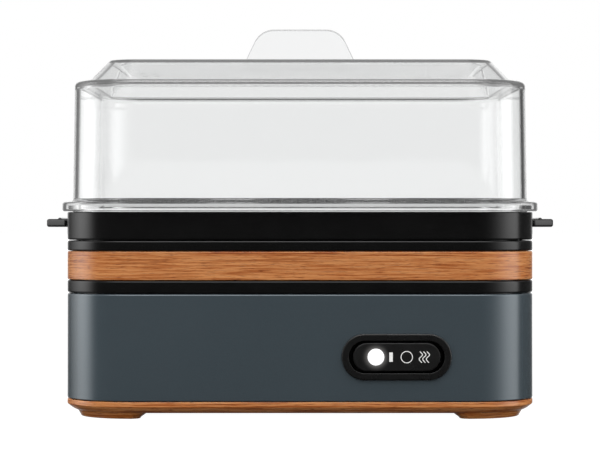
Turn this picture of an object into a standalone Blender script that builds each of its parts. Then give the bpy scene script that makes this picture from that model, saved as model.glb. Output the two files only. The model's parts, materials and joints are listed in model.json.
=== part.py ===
"""Egg cooker: a clear lid over a six-egg tray, on a heated base with a wood band and a rocker switch.

+Z is up and -Y is the front. The origin is on the surface that the cooker stands on, at its middle.
"""

import math

import bmesh
import bpy
from mathutils import Matrix, Vector

MM = 0.001

# ---------------------------------------------------------------- driving dimensions

# Plan that every ring of the stack follows
BODY_WIDTH = 210 * MM
BODY_DEPTH = 150 * MM
BODY_CORNER = 31 * MM

# Gaps: between pieces that touch, between pieces that lift out, and round a fastener's shank
REST_GAP = 0.3 * MM
LIFT_GAP = 0.6 * MM
SHANK_GAP = 0.3 * MM
PIVOT_GAP = 0.12 * MM

# Heights of the stack, from the feet up
PAD_PROUD = 0.3 * MM
FOOT_HEIGHT = 2.7 * MM
BASE_HEIGHT = 5.1 * MM
HOUSING_HEIGHT = 47.1 * MM
LOWER_RING_HEIGHT = 5.55 * MM
BAND_HEIGHT = 12.55 * MM
UPPER_RING_HEIGHT = 4.5 * MM
TRAY_HEIGHT = 12.5 * MM
FLANGE_HEIGHT = 4.2 * MM
LID_WALL_HEIGHT = 54.1 * MM
PANEL_RISE = 9.6 * MM
HANDLE_HEIGHT = 17.7 * MM

# Walls
EDGE = 0.5 * MM
HOUSING_WALL = 2.2 * MM
BAND_WALL = 3.1 * MM
SLEEVE_WALL = 2.1 * MM
TRAY_WALL = 2.0 * MM
LID_WALL = 2.2 * MM
DISH_SHEET = 1.0 * MM

# Lid
FLANGE_OVERHANG = 2.3 * MM
LID_WALL_INSET = 2.5 * MM
LID_DRAFT = 0.8 * MM
SHOULDER = 2.2 * MM
LEDGE_WIDTH = 6.2 * MM
SLOPE_RUN = 9.6 * MM
LIP_DEPTH = 2.6 * MM
VENT_RADIUS = 1.3 * MM
VENT_CENTRE = (-72.5 * MM, 29 * MM)
VENT_PITCH = (6 * MM, 16 * MM)
HANDLE_FOOT_WIDTH = 54 * MM
HANDLE_TOP_WIDTH = 37.2 * MM
HANDLE_CORNER = 10 * MM
HANDLE_THICKNESS = 3.2 * MM

# Egg tray
DECK_DROP = 3.2 * MM
DECK_THICKNESS = 2.0 * MM
RIB_WALL = 1.6 * MM
RIB_DEPTH = 12.0 * MM
SEAT_PITCH_X = 62 * MM
SEAT_PITCH_Y = 66 * MM
SEAT_TOP_RADIUS = 20.4 * MM
SEAT_FOOT_RADIUS = 16.9 * MM
SEAT_WALL = 1.6 * MM
SEAT_RISE = 2.0 * MM
SEAT_DEPTH = 10.0 * MM
SLOT_WIDTH = 3.0 * MM
SLOT_LENGTH = 16 * MM
SLOT_PITCH = 6 * MM
TAB_REACH = 12.4 * MM
TAB_WIDTH = 52 * MM
TAB_SHOULDER = 2.0 * MM
TAB_SLANT = math.radians(40)
TAB_THICKNESS = 3.7 * MM
TAB_BELOW_TOP = 3.0 * MM
TAB_CORNER = 2.5 * MM
RIDGE_HEIGHT = 0.6 * MM
RIDGE_WIDTH = 1.6 * MM
RIDGE_LENGTH = 34 * MM
RIDGE_PLACES = (2.0 * MM, 6.4 * MM)

# Collar, seal and dish
SLEEVE_DEPTH = 22.9 * MM
LEDGE_DROP = 8.7 * MM
LEDGE_THICKNESS = 2.0 * MM
LEDGE_REACH = 6.2 * MM
SEAL_THICKNESS = 0.7 * MM
SEAL_WIDTH = 5.1 * MM
DISH_DEPTH = 11.3 * MM
DISH_BEND = 2.0 * MM

# Heater
SPREADER_SIZE = (132 * MM, 82 * MM)
SPREADER_CORNER = 20 * MM
SPREADER_THICKNESS = 3.0 * MM
ELEMENT_SIZE = (110 * MM, 60 * MM)
ELEMENT_CORNER = 18 * MM
ELEMENT_RADIUS = 3.2 * MM
ELEMENT_END_PITCH = 28 * MM
ELEMENT_END_DROP = 9 * MM
ELEMENT_BEND = 5 * MM
THERMOSTAT_RADIUS = 8.5 * MM
THERMOSTAT_FLANGE = 2.2 * MM
THERMOSTAT_BODY_RADIUS = 6.8 * MM
THERMOSTAT_BODY_HEIGHT = 6.0 * MM
THERMOSTAT_NOSE_RADIUS = 3.4 * MM
THERMOSTAT_NOSE_HEIGHT = 2.7 * MM
THERMOSTAT_TERMINAL_PITCH = 3.4 * MM
THERMOSTAT_Y = -8 * MM
FUSE_RADIUS = 2.0 * MM
FUSE_LENGTH = 12 * MM
FUSE_Y = 15 * MM
CLIP_WIDTH = 6 * MM
CLIP_SHEET = 0.6 * MM
CLIP_TOE = 4 * MM

# Fasteners
STUD_RADIUS = 1.5 * MM
STUD_LENGTH = 8.0 * MM
STUD_PITCH = 172 * MM
CLAMP_SHEET = 1.5 * MM
CLAMP_WIDTH = 12 * MM
CLAMP_TOE = 6 * MM
CLAMP_DROP = 2.3 * MM
NUT_RADIUS = 3.2 * MM
NUT_HEIGHT = 2.5 * MM
NUT_SIDES = 6
POST_RADIUS = 3.2 * MM
POST_INSET = 8.3 * MM
POST_PITCH = 44 * MM
SCREW_RADIUS = 1.3 * MM
SCREW_HEAD_RADIUS = 2.6 * MM
SCREW_HEAD_HEIGHT = 1.7 * MM
SCREW_SINK = 0.3 * MM
SCREW_BITE = 14 * MM

# Base and feet
BASE_FLOOR = 3.0 * MM
BASE_UNDERCUT = 4.7 * MM
BASE_RIM_HEIGHT = 2.2 * MM
UNDERCUT_BULGE = 0.5
LIP_WALL = 2.0 * MM
LIP_HEIGHT = 3.4 * MM
FOOT_LENGTH = 32.6 * MM
FOOT_INSET = 4.8 * MM
FOOT_DRAFT = 1.3 * MM
FOOT_TAPER = 3.0 * MM
FOOT_INNER_CORNER = 4.5 * MM
PAD_RADIUS = 7.0 * MM
PAD_THICKNESS = 2.0 * MM
PAD_OFFSET = 6.0 * MM

# Switch, in the front wall
SWITCH_X = 42.4 * MM
SWITCH_Z = 28.0 * MM
BEZEL_SIZE = (48.4 * MM, 20.4 * MM)
BEZEL_PROUD = 1.4 * MM
BEZEL_CHAMFER = 0.7 * MM
BEZEL_WALL = 1.4 * MM
BEZEL_DEPTH = 9.0 * MM
OPENING_SIZE = (42.2 * MM, 14.3 * MM)
ROCKER_SIZE = (38.4 * MM, 12.4 * MM)
ROCKER_PROUD = 1.0 * MM
ROCKER_DEPTH = 9.0 * MM
ROCKER_SWING = 2.4 * MM
PIVOT_DEPTH = 6.0 * MM
PIN_RADIUS = 0.8 * MM
LENS_RADIUS = 3.65 * MM
LENS_THICKNESS = 1.25 * MM
LENS_OFFSET = -9.1 * MM
SWITCH_BODY_SIZE = (36 * MM, 15.2 * MM)
SWITCH_BODY_DEPTH = 14 * MM
SWITCH_RIM_DEPTH = 3.5 * MM
TERMINAL_PITCH = 12 * MM

# Supply side, in the rear wall
GLAND_Z = 22 * MM
GLAND_BORE = 3.8 * MM
GLAND_NECK = 5.0 * MM
GLAND_FLANGE = 7.0 * MM
GLAND_FLANGE_THICKNESS = 1.8 * MM
BLOCK_SIZE = (28 * MM, 11 * MM, 10 * MM)
BLOCK_Y = 50 * MM
BLOCK_WELL_RADIUS = 2.2 * MM
BLOCK_WELL_DEPTH = 4 * MM
BLOCK_WELL_PITCH = 8 * MM
LEAD_RADIUS = 1.1 * MM
LONG_PULL = 80 * MM
SHORT_PULL = 30 * MM

# Smoothness: steps in each quarter turn of a plan corner, of a small corner, and sides of a round
CORNER_STEPS = 7
SMALL_STEPS = 5
ROUND_SIDES = 24
PIN_SIDES = 12
LEAD_POINTS = 11
SHARP_ANGLE = math.radians(30)

# The least straight run, which keeps the ends of two arcs apart
LEAST = 0.01 * MM

# ---------------------------------------------------------------- places that follow from them

BASE_Z = PAD_PROUD + FOOT_HEIGHT
BASE_TOP = BASE_Z + BASE_HEIGHT
FLOOR_Z = BASE_Z + BASE_FLOOR
HOUSING_Z = BASE_TOP + REST_GAP
HOUSING_TOP = HOUSING_Z + HOUSING_HEIGHT
LOWER_RING_Z = HOUSING_TOP + REST_GAP
LOWER_RING_TOP = LOWER_RING_Z + LOWER_RING_HEIGHT
BAND_Z = LOWER_RING_TOP + REST_GAP
BAND_TOP = BAND_Z + BAND_HEIGHT
UPPER_RING_Z = BAND_TOP + REST_GAP
COLLAR_TOP = UPPER_RING_Z + UPPER_RING_HEIGHT
TRAY_Z = COLLAR_TOP + REST_GAP
TRAY_TOP = TRAY_Z + TRAY_HEIGHT
DECK_TOP = TRAY_TOP - DECK_DROP
DECK_Z = DECK_TOP - DECK_THICKNESS
FLANGE_Z = TRAY_TOP + REST_GAP
FLANGE_TOP = FLANGE_Z + FLANGE_HEIGHT
LEDGE_TOP = FLANGE_TOP + LID_WALL_HEIGHT
PANEL_TOP = LEDGE_TOP + PANEL_RISE
HANDLE_Z = PANEL_TOP + REST_GAP

SLEEVE_OUTSIDE = BAND_WALL + REST_GAP
SLEEVE_INSIDE = SLEEVE_OUTSIDE + SLEEVE_WALL
SLEEVE_Z = UPPER_RING_Z - SLEEVE_DEPTH
COLLAR_LEDGE_TOP = COLLAR_TOP - LEDGE_DROP
COLLAR_LEDGE_Z = COLLAR_LEDGE_TOP - LEDGE_THICKNESS
COLLAR_LEDGE_INSET = SLEEVE_INSIDE + LEDGE_REACH
DISH_RIM_INSET = SLEEVE_INSIDE + LIFT_GAP
DISH_WALL_INSET = COLLAR_LEDGE_INSET + LIFT_GAP
SEAL_Z = COLLAR_LEDGE_TOP + REST_GAP
DISH_RIM_Z = SEAL_Z + SEAL_THICKNESS + REST_GAP
DISH_Z = DISH_RIM_Z - DISH_DEPTH
SPREADER_TOP = DISH_Z - REST_GAP
SPREADER_Z = SPREADER_TOP - SPREADER_THICKNESS
UNDER_SPREADER = SPREADER_Z - REST_GAP
ELEMENT_Z = UNDER_SPREADER - ELEMENT_RADIUS
POST_Z = BASE_TOP + LIP_HEIGHT + REST_GAP
CLAMP_Z = DISH_Z - CLAMP_DROP - CLAMP_SHEET

FRONT_FACE = BODY_DEPTH / 2
ROCKER_FACE = FRONT_FACE + ROCKER_PROUD
ROCKER_BACK = ROCKER_FACE - ROCKER_DEPTH
BEZEL_BACK = FRONT_FACE - BEZEL_DEPTH
PIVOT_Y = -(ROCKER_FACE - PIVOT_DEPTH)

# Frames whose own +Z points out of the front wall, and out of the rear wall
TO_FRONT = Matrix.Rotation(math.radians(90), 4, "X")
TO_REAR = Matrix.Rotation(math.radians(-90), 4, "X")
SWITCH_FRAME = Matrix.Translation((SWITCH_X, 0, SWITCH_Z)) @ TO_FRONT
GLAND_FRAME = Matrix.Translation((0, 0, GLAND_Z)) @ TO_REAR

# Finishes: sRGB colour out of 255, roughness, metallic
CLEAR = ((236, 240, 242), 0.05, 0.0)
BLACK = ((22, 22, 22), 0.42, 0.0)
SLATE = ((62, 70, 75), 0.45, 0.3)
WOOD = ((178, 114, 66), 0.5, 0.0)
RUBBER = ((28, 28, 28), 0.8, 0.0)
SILICONE = ((150, 150, 146), 0.6, 0.0)
COATED = ((52, 52, 54), 0.35, 0.6)
STEEL = ((176, 178, 180), 0.3, 1.0)
ALUMINIUM = ((190, 192, 195), 0.4, 1.0)
CERAMIC = ((226, 222, 210), 0.6, 0.0)
LIGHT = ((255, 255, 255), 0.3, 0.0)
BROWN_LEAD = ((105, 62, 36), 0.5, 0.0)
BLUE_LEAD = ((40, 84, 160), 0.5, 0.0)
GREEN_LEAD = ((84, 150, 52), 0.5, 0.0)
WHITE_LEAD = ((224, 224, 220), 0.5, 0.0)


# ---------------------------------------------------------------- outlines


def quarter_arcs(corners, z, steps):
    """A level loop, anticlockwise from above, of quarter arcs: (centre x, centre y, radius) each."""
    points = []
    for quarter, (x, y, radius) in enumerate(corners):
        for step in range(steps + 1):
            angle = math.radians(90) * (quarter + step / steps)
            points.append(Vector((x + radius * math.cos(angle), y + radius * math.sin(angle), z)))
    return points


def rounded(size, corner, z, steps=SMALL_STEPS):
    """A rounded rectangle about the Z axis."""
    x, y = size[0] / 2 - corner, size[1] / 2 - corner
    signs = ((1, 1), (-1, 1), (-1, -1), (1, -1))
    return quarter_arcs([(sx * x, sy * y, corner) for sx, sy in signs], z, steps)


def pill(size, z, inset=0.0):
    """A slot shape with full round ends, drawn in by inset."""
    width, height = size[0] - 2 * inset, size[1] - 2 * inset
    straight = (width - height) / 2
    signs = ((1, 1), (-1, 1), (-1, -1), (1, -1))
    arcs = [(sx * straight, sy * LEAST, height / 2 - LEAST) for sx, sy in signs]
    return quarter_arcs(arcs, z, CORNER_STEPS)


def body_loop(inset, z):
    """The body's own outline, drawn in by inset."""
    size = (BODY_WIDTH - 2 * inset, BODY_DEPTH - 2 * inset)
    return rounded(size, BODY_CORNER - inset, z, CORNER_STEPS)


def circle(radius, z, sides=ROUND_SIDES):
    turns = [2 * math.pi * side / sides for side in range(sides)]
    return [Vector((radius * math.cos(turn), radius * math.sin(turn), z)) for turn in turns]


def mirrored(loop, signs):
    """A loop drawn for the +X +Y side, moved to another side."""
    return [Vector((signs[0] * point.x, signs[1] * point.y, point.z)) for point in loop]


def corners_of_base():
    """The four corners, as the signs of x and y, with the names they carry."""
    return {"front_left": (-1, -1), "front_right": (1, -1), "rear_left": (-1, 1), "rear_right": (1, 1)}


def post_place(signs):
    return signs[0] * (BODY_WIDTH / 2 - POST_INSET), signs[1] * POST_PITCH / 2


def pad_place(signs):
    x = BODY_WIDTH / 2 - BODY_CORNER + PAD_OFFSET
    y = BODY_DEPTH / 2 - BODY_CORNER + PAD_OFFSET
    return signs[0] * x, signs[1] * y


def seat_places():
    return [(column * SEAT_PITCH_X, row * SEAT_PITCH_Y / 2) for row in (-1, 1) for column in (-1, 0, 1)]


# ---------------------------------------------------------------- solids


def add_body(mesh, loops, ring=False, place=Matrix()):
    """Skins one closed body over loops of equal length, its ends joined if it is a ring, else capped."""
    rows = [[mesh.verts.new(place @ Vector(point)) for point in loop] for loop in loops]
    pairs = list(zip(rows, rows[1:]))
    if ring:
        pairs.append((rows[-1], rows[0]))
    else:
        mesh.faces.new(rows[0])
        mesh.faces.new(rows[-1])
    for low, high in pairs:
        for here in range(len(low)):
            after = (here + 1) % len(low)
            mesh.faces.new((low[here], low[after], high[after], high[here]))


def add_cylinder(mesh, radius, bottom, top, place=Matrix(), sides=ROUND_SIDES):
    add_body(mesh, [circle(radius, bottom, sides), circle(radius, top, sides)], place=place)


def add_box(mesh, low, high):
    low_x, low_y, low_z = low
    high_x, high_y, high_z = high
    plan = ((low_x, low_y), (high_x, low_y), (high_x, high_y), (low_x, high_y))
    add_body(mesh, [[(x, y, z) for x, y in plan] for z in (low_z, high_z)])


def add_extrusion(mesh, outline, low, high, place):
    """Extrudes a flat outline of (x, y) points between two heights of the frame place."""
    add_body(mesh, [[(x, y, z) for x, y in outline] for z in (low, high)], place=place)


def make_object(name, mesh, pivot=None):
    """Turns a bmesh into an object, with its origin on the pivot empty if it has one."""
    bmesh.ops.recalc_face_normals(mesh, faces=mesh.faces[:])
    if pivot:
        bmesh.ops.translate(mesh, verts=mesh.verts[:], vec=-pivot.matrix_world.translation)
    data = bpy.data.meshes.new(name)
    mesh.to_mesh(data)
    mesh.free()
    made = bpy.data.objects.new(name, data)
    bpy.context.collection.objects.link(made)
    made.parent = pivot
    return made


def to_linear(channel):
    value = channel / 255
    return value / 12.92 if value <= 0.04045 else ((value + 0.055) / 1.055) ** 2.4


def paint(made, finish):
    """Gives an object a material of its own."""
    colour, roughness, metallic = finish
    material = bpy.data.materials.new(made.name)
    material.use_nodes = True
    shader = material.node_tree.nodes["Principled BSDF"]
    shader.inputs["Base Color"].default_value = (*[to_linear(channel) for channel in colour], 1)
    shader.inputs["Roughness"].default_value = roughness
    shader.inputs["Metallic"].default_value = metallic
    made.data.materials.append(material)


def piece(name, mesh, finish, pivot=None, smooth=True):
    made = make_object(name, mesh, pivot)
    paint(made, finish)
    if smooth:
        made.data.shade_smooth()
        made.data.set_sharp_from_angle(angle=SHARP_ANGLE)
    return made


def shape_with(made, mesh, operation, label):
    """Applies a hidden mesh to an object with a Boolean modifier."""
    tool = make_object(f"{made.name}_{label}", mesh)
    tool.hide_render = True
    tool.display_type = "WIRE"
    modifier = made.modifiers.new(label, "BOOLEAN")
    modifier.operation = operation
    modifier.object = tool


def pivot_at(name, place, parent=None):
    """An empty at a world place, which moving pieces hang from."""
    empty = bpy.data.objects.new(name, None)
    bpy.context.collection.objects.link(empty)
    empty.parent = parent
    empty.location = Vector(place) - (parent.matrix_world.translation if parent else Vector())
    bpy.context.view_layer.update()
    return empty


def tube(name, points, radius, finish):
    """A round rod through the points, with closed ends."""
    curve = bpy.data.curves.new(name, "CURVE")
    curve.dimensions = "3D"
    curve.bevel_depth = radius
    curve.bevel_resolution = 2
    curve.use_fill_caps = True
    spline = curve.splines.new("POLY")
    spline.points.add(len(points) - 1)
    for slot, point in zip(spline.points, points):
        slot.co = (*point, 1)
    made = bpy.data.objects.new(name, curve)
    bpy.context.collection.objects.link(made)
    paint(made, finish)


# ---------------------------------------------------------------- lid


def build_lid(pivot):
    wall_top = LID_WALL_INSET + LID_DRAFT
    slope_foot = wall_top + LEDGE_WIDTH
    slope_top = slope_foot + SLOPE_RUN
    outside = [
        (LID_WALL_INSET, FLANGE_Z - LIP_DEPTH),
        (LID_WALL_INSET, FLANGE_Z),
        (EDGE - FLANGE_OVERHANG, FLANGE_Z),
        (-FLANGE_OVERHANG, FLANGE_Z + EDGE),
        (-FLANGE_OVERHANG, FLANGE_TOP - EDGE),
        (EDGE - FLANGE_OVERHANG, FLANGE_TOP),
        (LID_WALL_INSET, FLANGE_TOP),
        (wall_top, LEDGE_TOP - SHOULDER),
        (wall_top + SHOULDER / 3, LEDGE_TOP - SHOULDER / 3),
        (wall_top + SHOULDER, LEDGE_TOP),
        (slope_foot, LEDGE_TOP),
        (slope_top, PANEL_TOP - EDGE),
        (slope_top + EDGE, PANEL_TOP),
    ]
    inside = [
        (slope_top + LID_WALL / 2, PANEL_TOP - LID_WALL),
        (slope_foot + LID_WALL / 2, LEDGE_TOP - LID_WALL),
        (wall_top + LID_WALL, LEDGE_TOP - LID_WALL),
        (LID_WALL_INSET + LID_WALL, FLANGE_TOP),
        (LID_WALL_INSET + LID_WALL, FLANGE_Z - LIP_DEPTH),
    ]
    shell = bmesh.new()
    add_body(shell, [body_loop(*corner) for corner in inside + outside])
    lid = piece("lid", shell, CLEAR, pivot)

    vents = bmesh.new()
    for side in (-0.5, 0.5):
        for row in (-0.5, 0.5):
            x = VENT_CENTRE[0] + side * VENT_PITCH[0]
            y = VENT_CENTRE[1] + row * VENT_PITCH[1]
            place = Matrix.Translation((x, y, 0))
            add_cylinder(vents, VENT_RADIUS, PANEL_TOP - 2 * LID_WALL, HANDLE_Z, place, PIN_SIDES)
    shape_with(lid, vents, "DIFFERENCE", "vents")


def handle_outline():
    """The fin seen from the front: sloping sides into two round top corners."""
    foot, top = HANDLE_FOOT_WIDTH / 2, HANDLE_TOP_WIDTH / 2
    lean = math.atan2(foot - top, HANDLE_HEIGHT)
    tangent = HANDLE_CORNER * math.tan((math.pi / 2 - lean) / 2)
    centre_x, centre_y = top - tangent, HANDLE_HEIGHT - HANDLE_CORNER
    right = [(foot, 0)]
    for step in range(SMALL_STEPS + 1):
        angle = lean + (math.pi / 2 - lean) * step / SMALL_STEPS
        right.append(
            (centre_x + HANDLE_CORNER * math.cos(angle), centre_y + HANDLE_CORNER * math.sin(angle))
        )
    return right + [(-x, y) for x, y in reversed(right)]


def build_lid_handle(pivot):
    fin = bmesh.new()
    place = Matrix.Translation((0, 0, HANDLE_Z)) @ TO_FRONT
    add_extrusion(fin, handle_outline(), -HANDLE_THICKNESS / 2, HANDLE_THICKNESS / 2, place)
    piece("lid_handle", fin, CLEAR, pivot)


# ---------------------------------------------------------------- egg tray


def build_egg_tray(pivot):
    rib_outside = SLEEVE_INSIDE + LIFT_GAP
    rib_inside = rib_outside + RIB_WALL
    section = [
        (rib_inside, DECK_Z),
        (rib_inside, DECK_Z - RIB_DEPTH),
        (rib_outside, DECK_Z - RIB_DEPTH),
        (rib_outside, DECK_Z),
        (TRAY_WALL, DECK_Z),
        (TRAY_WALL, TRAY_Z),
        (EDGE, TRAY_Z),
        (0, TRAY_Z + EDGE),
        (0, TRAY_TOP - EDGE),
        (EDGE, TRAY_TOP),
        (TRAY_WALL, TRAY_TOP),
        (TRAY_WALL, DECK_TOP),
    ]
    shell = bmesh.new()
    add_body(shell, [body_loop(*corner) for corner in section])
    tray = piece("egg_tray", shell, BLACK, pivot)
    shape_with(tray, tray_seats(SEAT_WALL, 0), "UNION", "seats")
    shape_with(tray, tray_tabs(), "UNION", "tabs")
    shape_with(tray, tray_ridges(), "UNION", "ridges")
    shape_with(tray, tray_seats(0, 2 * EDGE), "DIFFERENCE", "bores")
    shape_with(tray, tray_slots(), "DIFFERENCE", "slots")


def tray_seats(wall, extra):
    """Six tapered cups, thicker by wall and longer by extra at both ends, on the same cone."""
    top, foot = DECK_TOP + SEAT_RISE, DECK_TOP + SEAT_RISE - SEAT_DEPTH
    spread = (SEAT_TOP_RADIUS - SEAT_FOOT_RADIUS) / SEAT_DEPTH * extra
    cups = bmesh.new()
    for x, y in seat_places():
        low = circle(SEAT_FOOT_RADIUS + wall - spread, foot - extra)
        high = circle(SEAT_TOP_RADIUS + wall + spread, top + extra)
        add_body(cups, [low, high], place=Matrix.Translation((x, y, 0)))
    return cups


def tab_loop(side, inset, z):
    """Plan of a tab: straight at its root in the tray's wall, then slanted in to a rounded tip."""
    shoulder = Vector((BODY_WIDTH / 2 + TAB_SHOULDER, TAB_WIDTH / 2 - TAB_CORNER, z))
    run = TAB_REACH - TAB_SHOULDER - TAB_CORNER
    tip = shoulder + run * Vector((1, -math.tan(TAB_SLANT), 0))
    slant_normal = math.radians(90) - TAB_SLANT
    turns = ((tip, 0, slant_normal), (shoulder, slant_normal, math.radians(90)))
    upper = []
    for centre, start, end in turns:
        for step in range(SMALL_STEPS + 1):
            angle = start + (end - start) * step / SMALL_STEPS
            reach = TAB_CORNER - inset
            upper.append(centre + reach * Vector((math.cos(angle), math.sin(angle), 0)))
    upper.append(Vector((BODY_WIDTH / 2 - TRAY_WALL / 2, TAB_WIDTH / 2 - inset, z)))
    return mirrored(upper + mirrored(upper[::-1], (1, -1)), (side, 1))


def tray_tabs():
    top = TRAY_TOP - TAB_BELOW_TOP
    bottom = top - TAB_THICKNESS
    tabs = bmesh.new()
    for side in (-1, 1):
        heights = ((EDGE, bottom), (0, bottom + EDGE), (0, top - EDGE), (EDGE, top))
        add_body(tabs, [tab_loop(side, inset, z) for inset, z in heights])
    return tabs


def tray_ridges():
    top = TRAY_TOP - TAB_BELOW_TOP
    half = RIDGE_LENGTH / 2
    ridges = bmesh.new()
    for side in (-1, 1):
        for reach in RIDGE_PLACES:
            middle = side * (BODY_WIDTH / 2 + reach)
            low = (middle - RIDGE_WIDTH / 2, -half, top - EDGE)
            add_box(ridges, low, (middle + RIDGE_WIDTH / 2, half, top + RIDGE_HEIGHT))
    return ridges


def tray_slots():
    slots = bmesh.new()
    for group in (-0.5, 0.5):
        for place in (-1, 0, 1):
            middle = group * SEAT_PITCH_X + place * SLOT_PITCH
            low = (middle - SLOT_WIDTH / 2, -SLOT_LENGTH / 2, DECK_Z - EDGE)
            add_box(slots, low, (middle + SLOT_WIDTH / 2, SLOT_LENGTH / 2, DECK_TOP + EDGE))
    return slots


# ---------------------------------------------------------------- stack of the base


def band_section(bottom, top, wall):
    """A flat band with its outer edges eased."""
    return [(wall, bottom), (EDGE, bottom), (0, bottom + EDGE), (0, top - EDGE), (EDGE, top), (wall, top)]


def build_band(name, bottom, top, finish):
    ring = bmesh.new()
    add_body(ring, [body_loop(*corner) for corner in band_section(bottom, top, BAND_WALL)], ring=True)
    piece(name, ring, finish)


def build_collar():
    section = [
        (0, UPPER_RING_Z),
        (0, COLLAR_TOP - EDGE),
        (EDGE, COLLAR_TOP),
        (SLEEVE_INSIDE, COLLAR_TOP),
        (SLEEVE_INSIDE, COLLAR_LEDGE_TOP),
        (COLLAR_LEDGE_INSET, COLLAR_LEDGE_TOP),
        (COLLAR_LEDGE_INSET, COLLAR_LEDGE_Z),
        (SLEEVE_INSIDE, COLLAR_LEDGE_Z),
        (SLEEVE_INSIDE, SLEEVE_Z),
        (SLEEVE_OUTSIDE, SLEEVE_Z),
        (SLEEVE_OUTSIDE, UPPER_RING_Z),
    ]
    shell = bmesh.new()
    add_body(shell, [body_loop(*corner) for corner in section], ring=True)
    collar = piece("collar", shell, BLACK)

    posts, bores = bmesh.new(), bmesh.new()
    for signs in corners_of_base().values():
        place = Matrix.Translation((*post_place(signs), 0))
        add_cylinder(posts, POST_RADIUS, POST_Z, COLLAR_LEDGE_Z + LEDGE_THICKNESS / 2, place, PIN_SIDES)
        bore_top = POST_Z + SCREW_BITE + REST_GAP
        add_cylinder(bores, SCREW_RADIUS + SHANK_GAP, POST_Z - EDGE, bore_top, place, PIN_SIDES)
    shape_with(collar, posts, "UNION", "posts")
    shape_with(collar, bores, "DIFFERENCE", "bores")


def build_housing():
    section = [
        (0, HOUSING_Z),
        (0, HOUSING_TOP - EDGE),
        (EDGE, HOUSING_TOP),
        (BAND_WALL, HOUSING_TOP),
        (BAND_WALL, HOUSING_TOP - HOUSING_WALL),
        (HOUSING_WALL, HOUSING_TOP - HOUSING_WALL),
        (HOUSING_WALL, HOUSING_Z),
    ]
    shell = bmesh.new()
    add_body(shell, [body_loop(*corner) for corner in section], ring=True)
    housing = piece("housing", shell, SLATE)

    holes = bmesh.new()
    past, short = BODY_DEPTH / 2 + EDGE, BODY_DEPTH / 2 - HOUSING_WALL - EDGE
    window = [pill(OPENING_SIZE, z, -BEZEL_WALL - REST_GAP) for z in (short, past)]
    add_body(holes, window, place=SWITCH_FRAME)
    add_cylinder(holes, GLAND_NECK + REST_GAP, short, past, GLAND_FRAME)
    shape_with(housing, holes, "DIFFERENCE", "holes")


def foot_loop(inset, taper, z):
    """Plan of the foot at +X +Y: its outer corner follows the body's, its other corners are small."""
    outer_x, outer_y = BODY_WIDTH / 2 - inset, BODY_DEPTH / 2 - inset
    inner_x = BODY_WIDTH / 2 - FOOT_INSET - FOOT_LENGTH + taper
    inner_y = BODY_DEPTH / 2 - FOOT_INSET - FOOT_LENGTH + taper
    big, small = BODY_CORNER - inset, FOOT_INNER_CORNER
    arcs = [
        (outer_x - big, outer_y - big, big),
        (inner_x + small, outer_y - small, small),
        (inner_x + small, inner_y + small, small),
        (outer_x - small, inner_y + small, small),
    ]
    return quarter_arcs(arcs, z, SMALL_STEPS)


def pocket_loop(z):
    """Rim of the pad's pocket at +X +Y, with as many points as the foot's own loops."""
    x, y = pad_place((1, 1))
    sides = 4 * (SMALL_STEPS + 1)
    return [Vector((x, y, 0)) + point for point in circle(PAD_RADIUS + REST_GAP, z, sides)]


def base_feet():
    """Four tapered feet, rooted in the foot plate, each with a pocket for its pad."""
    loops = [
        foot_loop(FOOT_INSET, 0, BASE_Z + BASE_FLOOR / 2),
        foot_loop(FOOT_INSET, 0, BASE_Z),
        foot_loop(FOOT_INSET + FOOT_DRAFT, FOOT_TAPER, PAD_PROUD + EDGE),
        foot_loop(FOOT_INSET + FOOT_DRAFT + EDGE, FOOT_TAPER + EDGE, PAD_PROUD),
        pocket_loop(PAD_PROUD),
        pocket_loop(PAD_THICKNESS + REST_GAP),
    ]
    feet = bmesh.new()
    for signs in corners_of_base().values():
        add_body(feet, [mirrored(loop, signs) for loop in loops])
    return feet


def base_bosses():
    bosses = bmesh.new()
    for signs in corners_of_base().values():
        place = Matrix.Translation((*post_place(signs), 0))
        add_cylinder(bosses, POST_RADIUS, FLOOR_Z - BASE_FLOOR / 2, POST_Z - REST_GAP, place, PIN_SIDES)
    return bosses


def base_holes():
    """Screw holes with their counterbores."""
    sink = BASE_Z + SCREW_SINK + SCREW_HEAD_HEIGHT + REST_GAP
    holes = bmesh.new()
    for signs in corners_of_base().values():
        place = Matrix.Translation((*post_place(signs), 0))
        section = [
            (SCREW_HEAD_RADIUS + SHANK_GAP, BASE_Z - EDGE),
            (SCREW_HEAD_RADIUS + SHANK_GAP, sink),
            (SCREW_RADIUS + SHANK_GAP, sink),
            (SCREW_RADIUS + SHANK_GAP, POST_Z + EDGE),
        ]
        add_body(holes, [circle(radius, z, PIN_SIDES) for radius, z in section], place=place)
    return holes


def build_base():
    lip_outside = HOUSING_WALL + REST_GAP
    lip_inside = lip_outside + LIP_WALL
    undercut_height = BASE_HEIGHT - BASE_RIM_HEIGHT
    section = []
    for step in range(SMALL_STEPS):
        share = 1 - step / (SMALL_STEPS - 1)
        fall = share + UNDERCUT_BULGE * share * (1 - share)
        section.append((BASE_UNDERCUT * share, BASE_Z + undercut_height * (1 - fall)))
    section += [
        (0, BASE_TOP),
        (lip_outside, BASE_TOP),
        (lip_outside, BASE_TOP + LIP_HEIGHT),
        (lip_inside, BASE_TOP + LIP_HEIGHT),
        (lip_inside, FLOOR_Z),
    ]
    plate = bmesh.new()
    add_body(plate, [body_loop(*corner) for corner in section])
    base = piece("base", plate, WOOD)
    shape_with(base, base_feet(), "UNION", "feet")
    shape_with(base, base_bosses(), "UNION", "bosses")
    shape_with(base, base_holes(), "DIFFERENCE", "holes")


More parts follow.
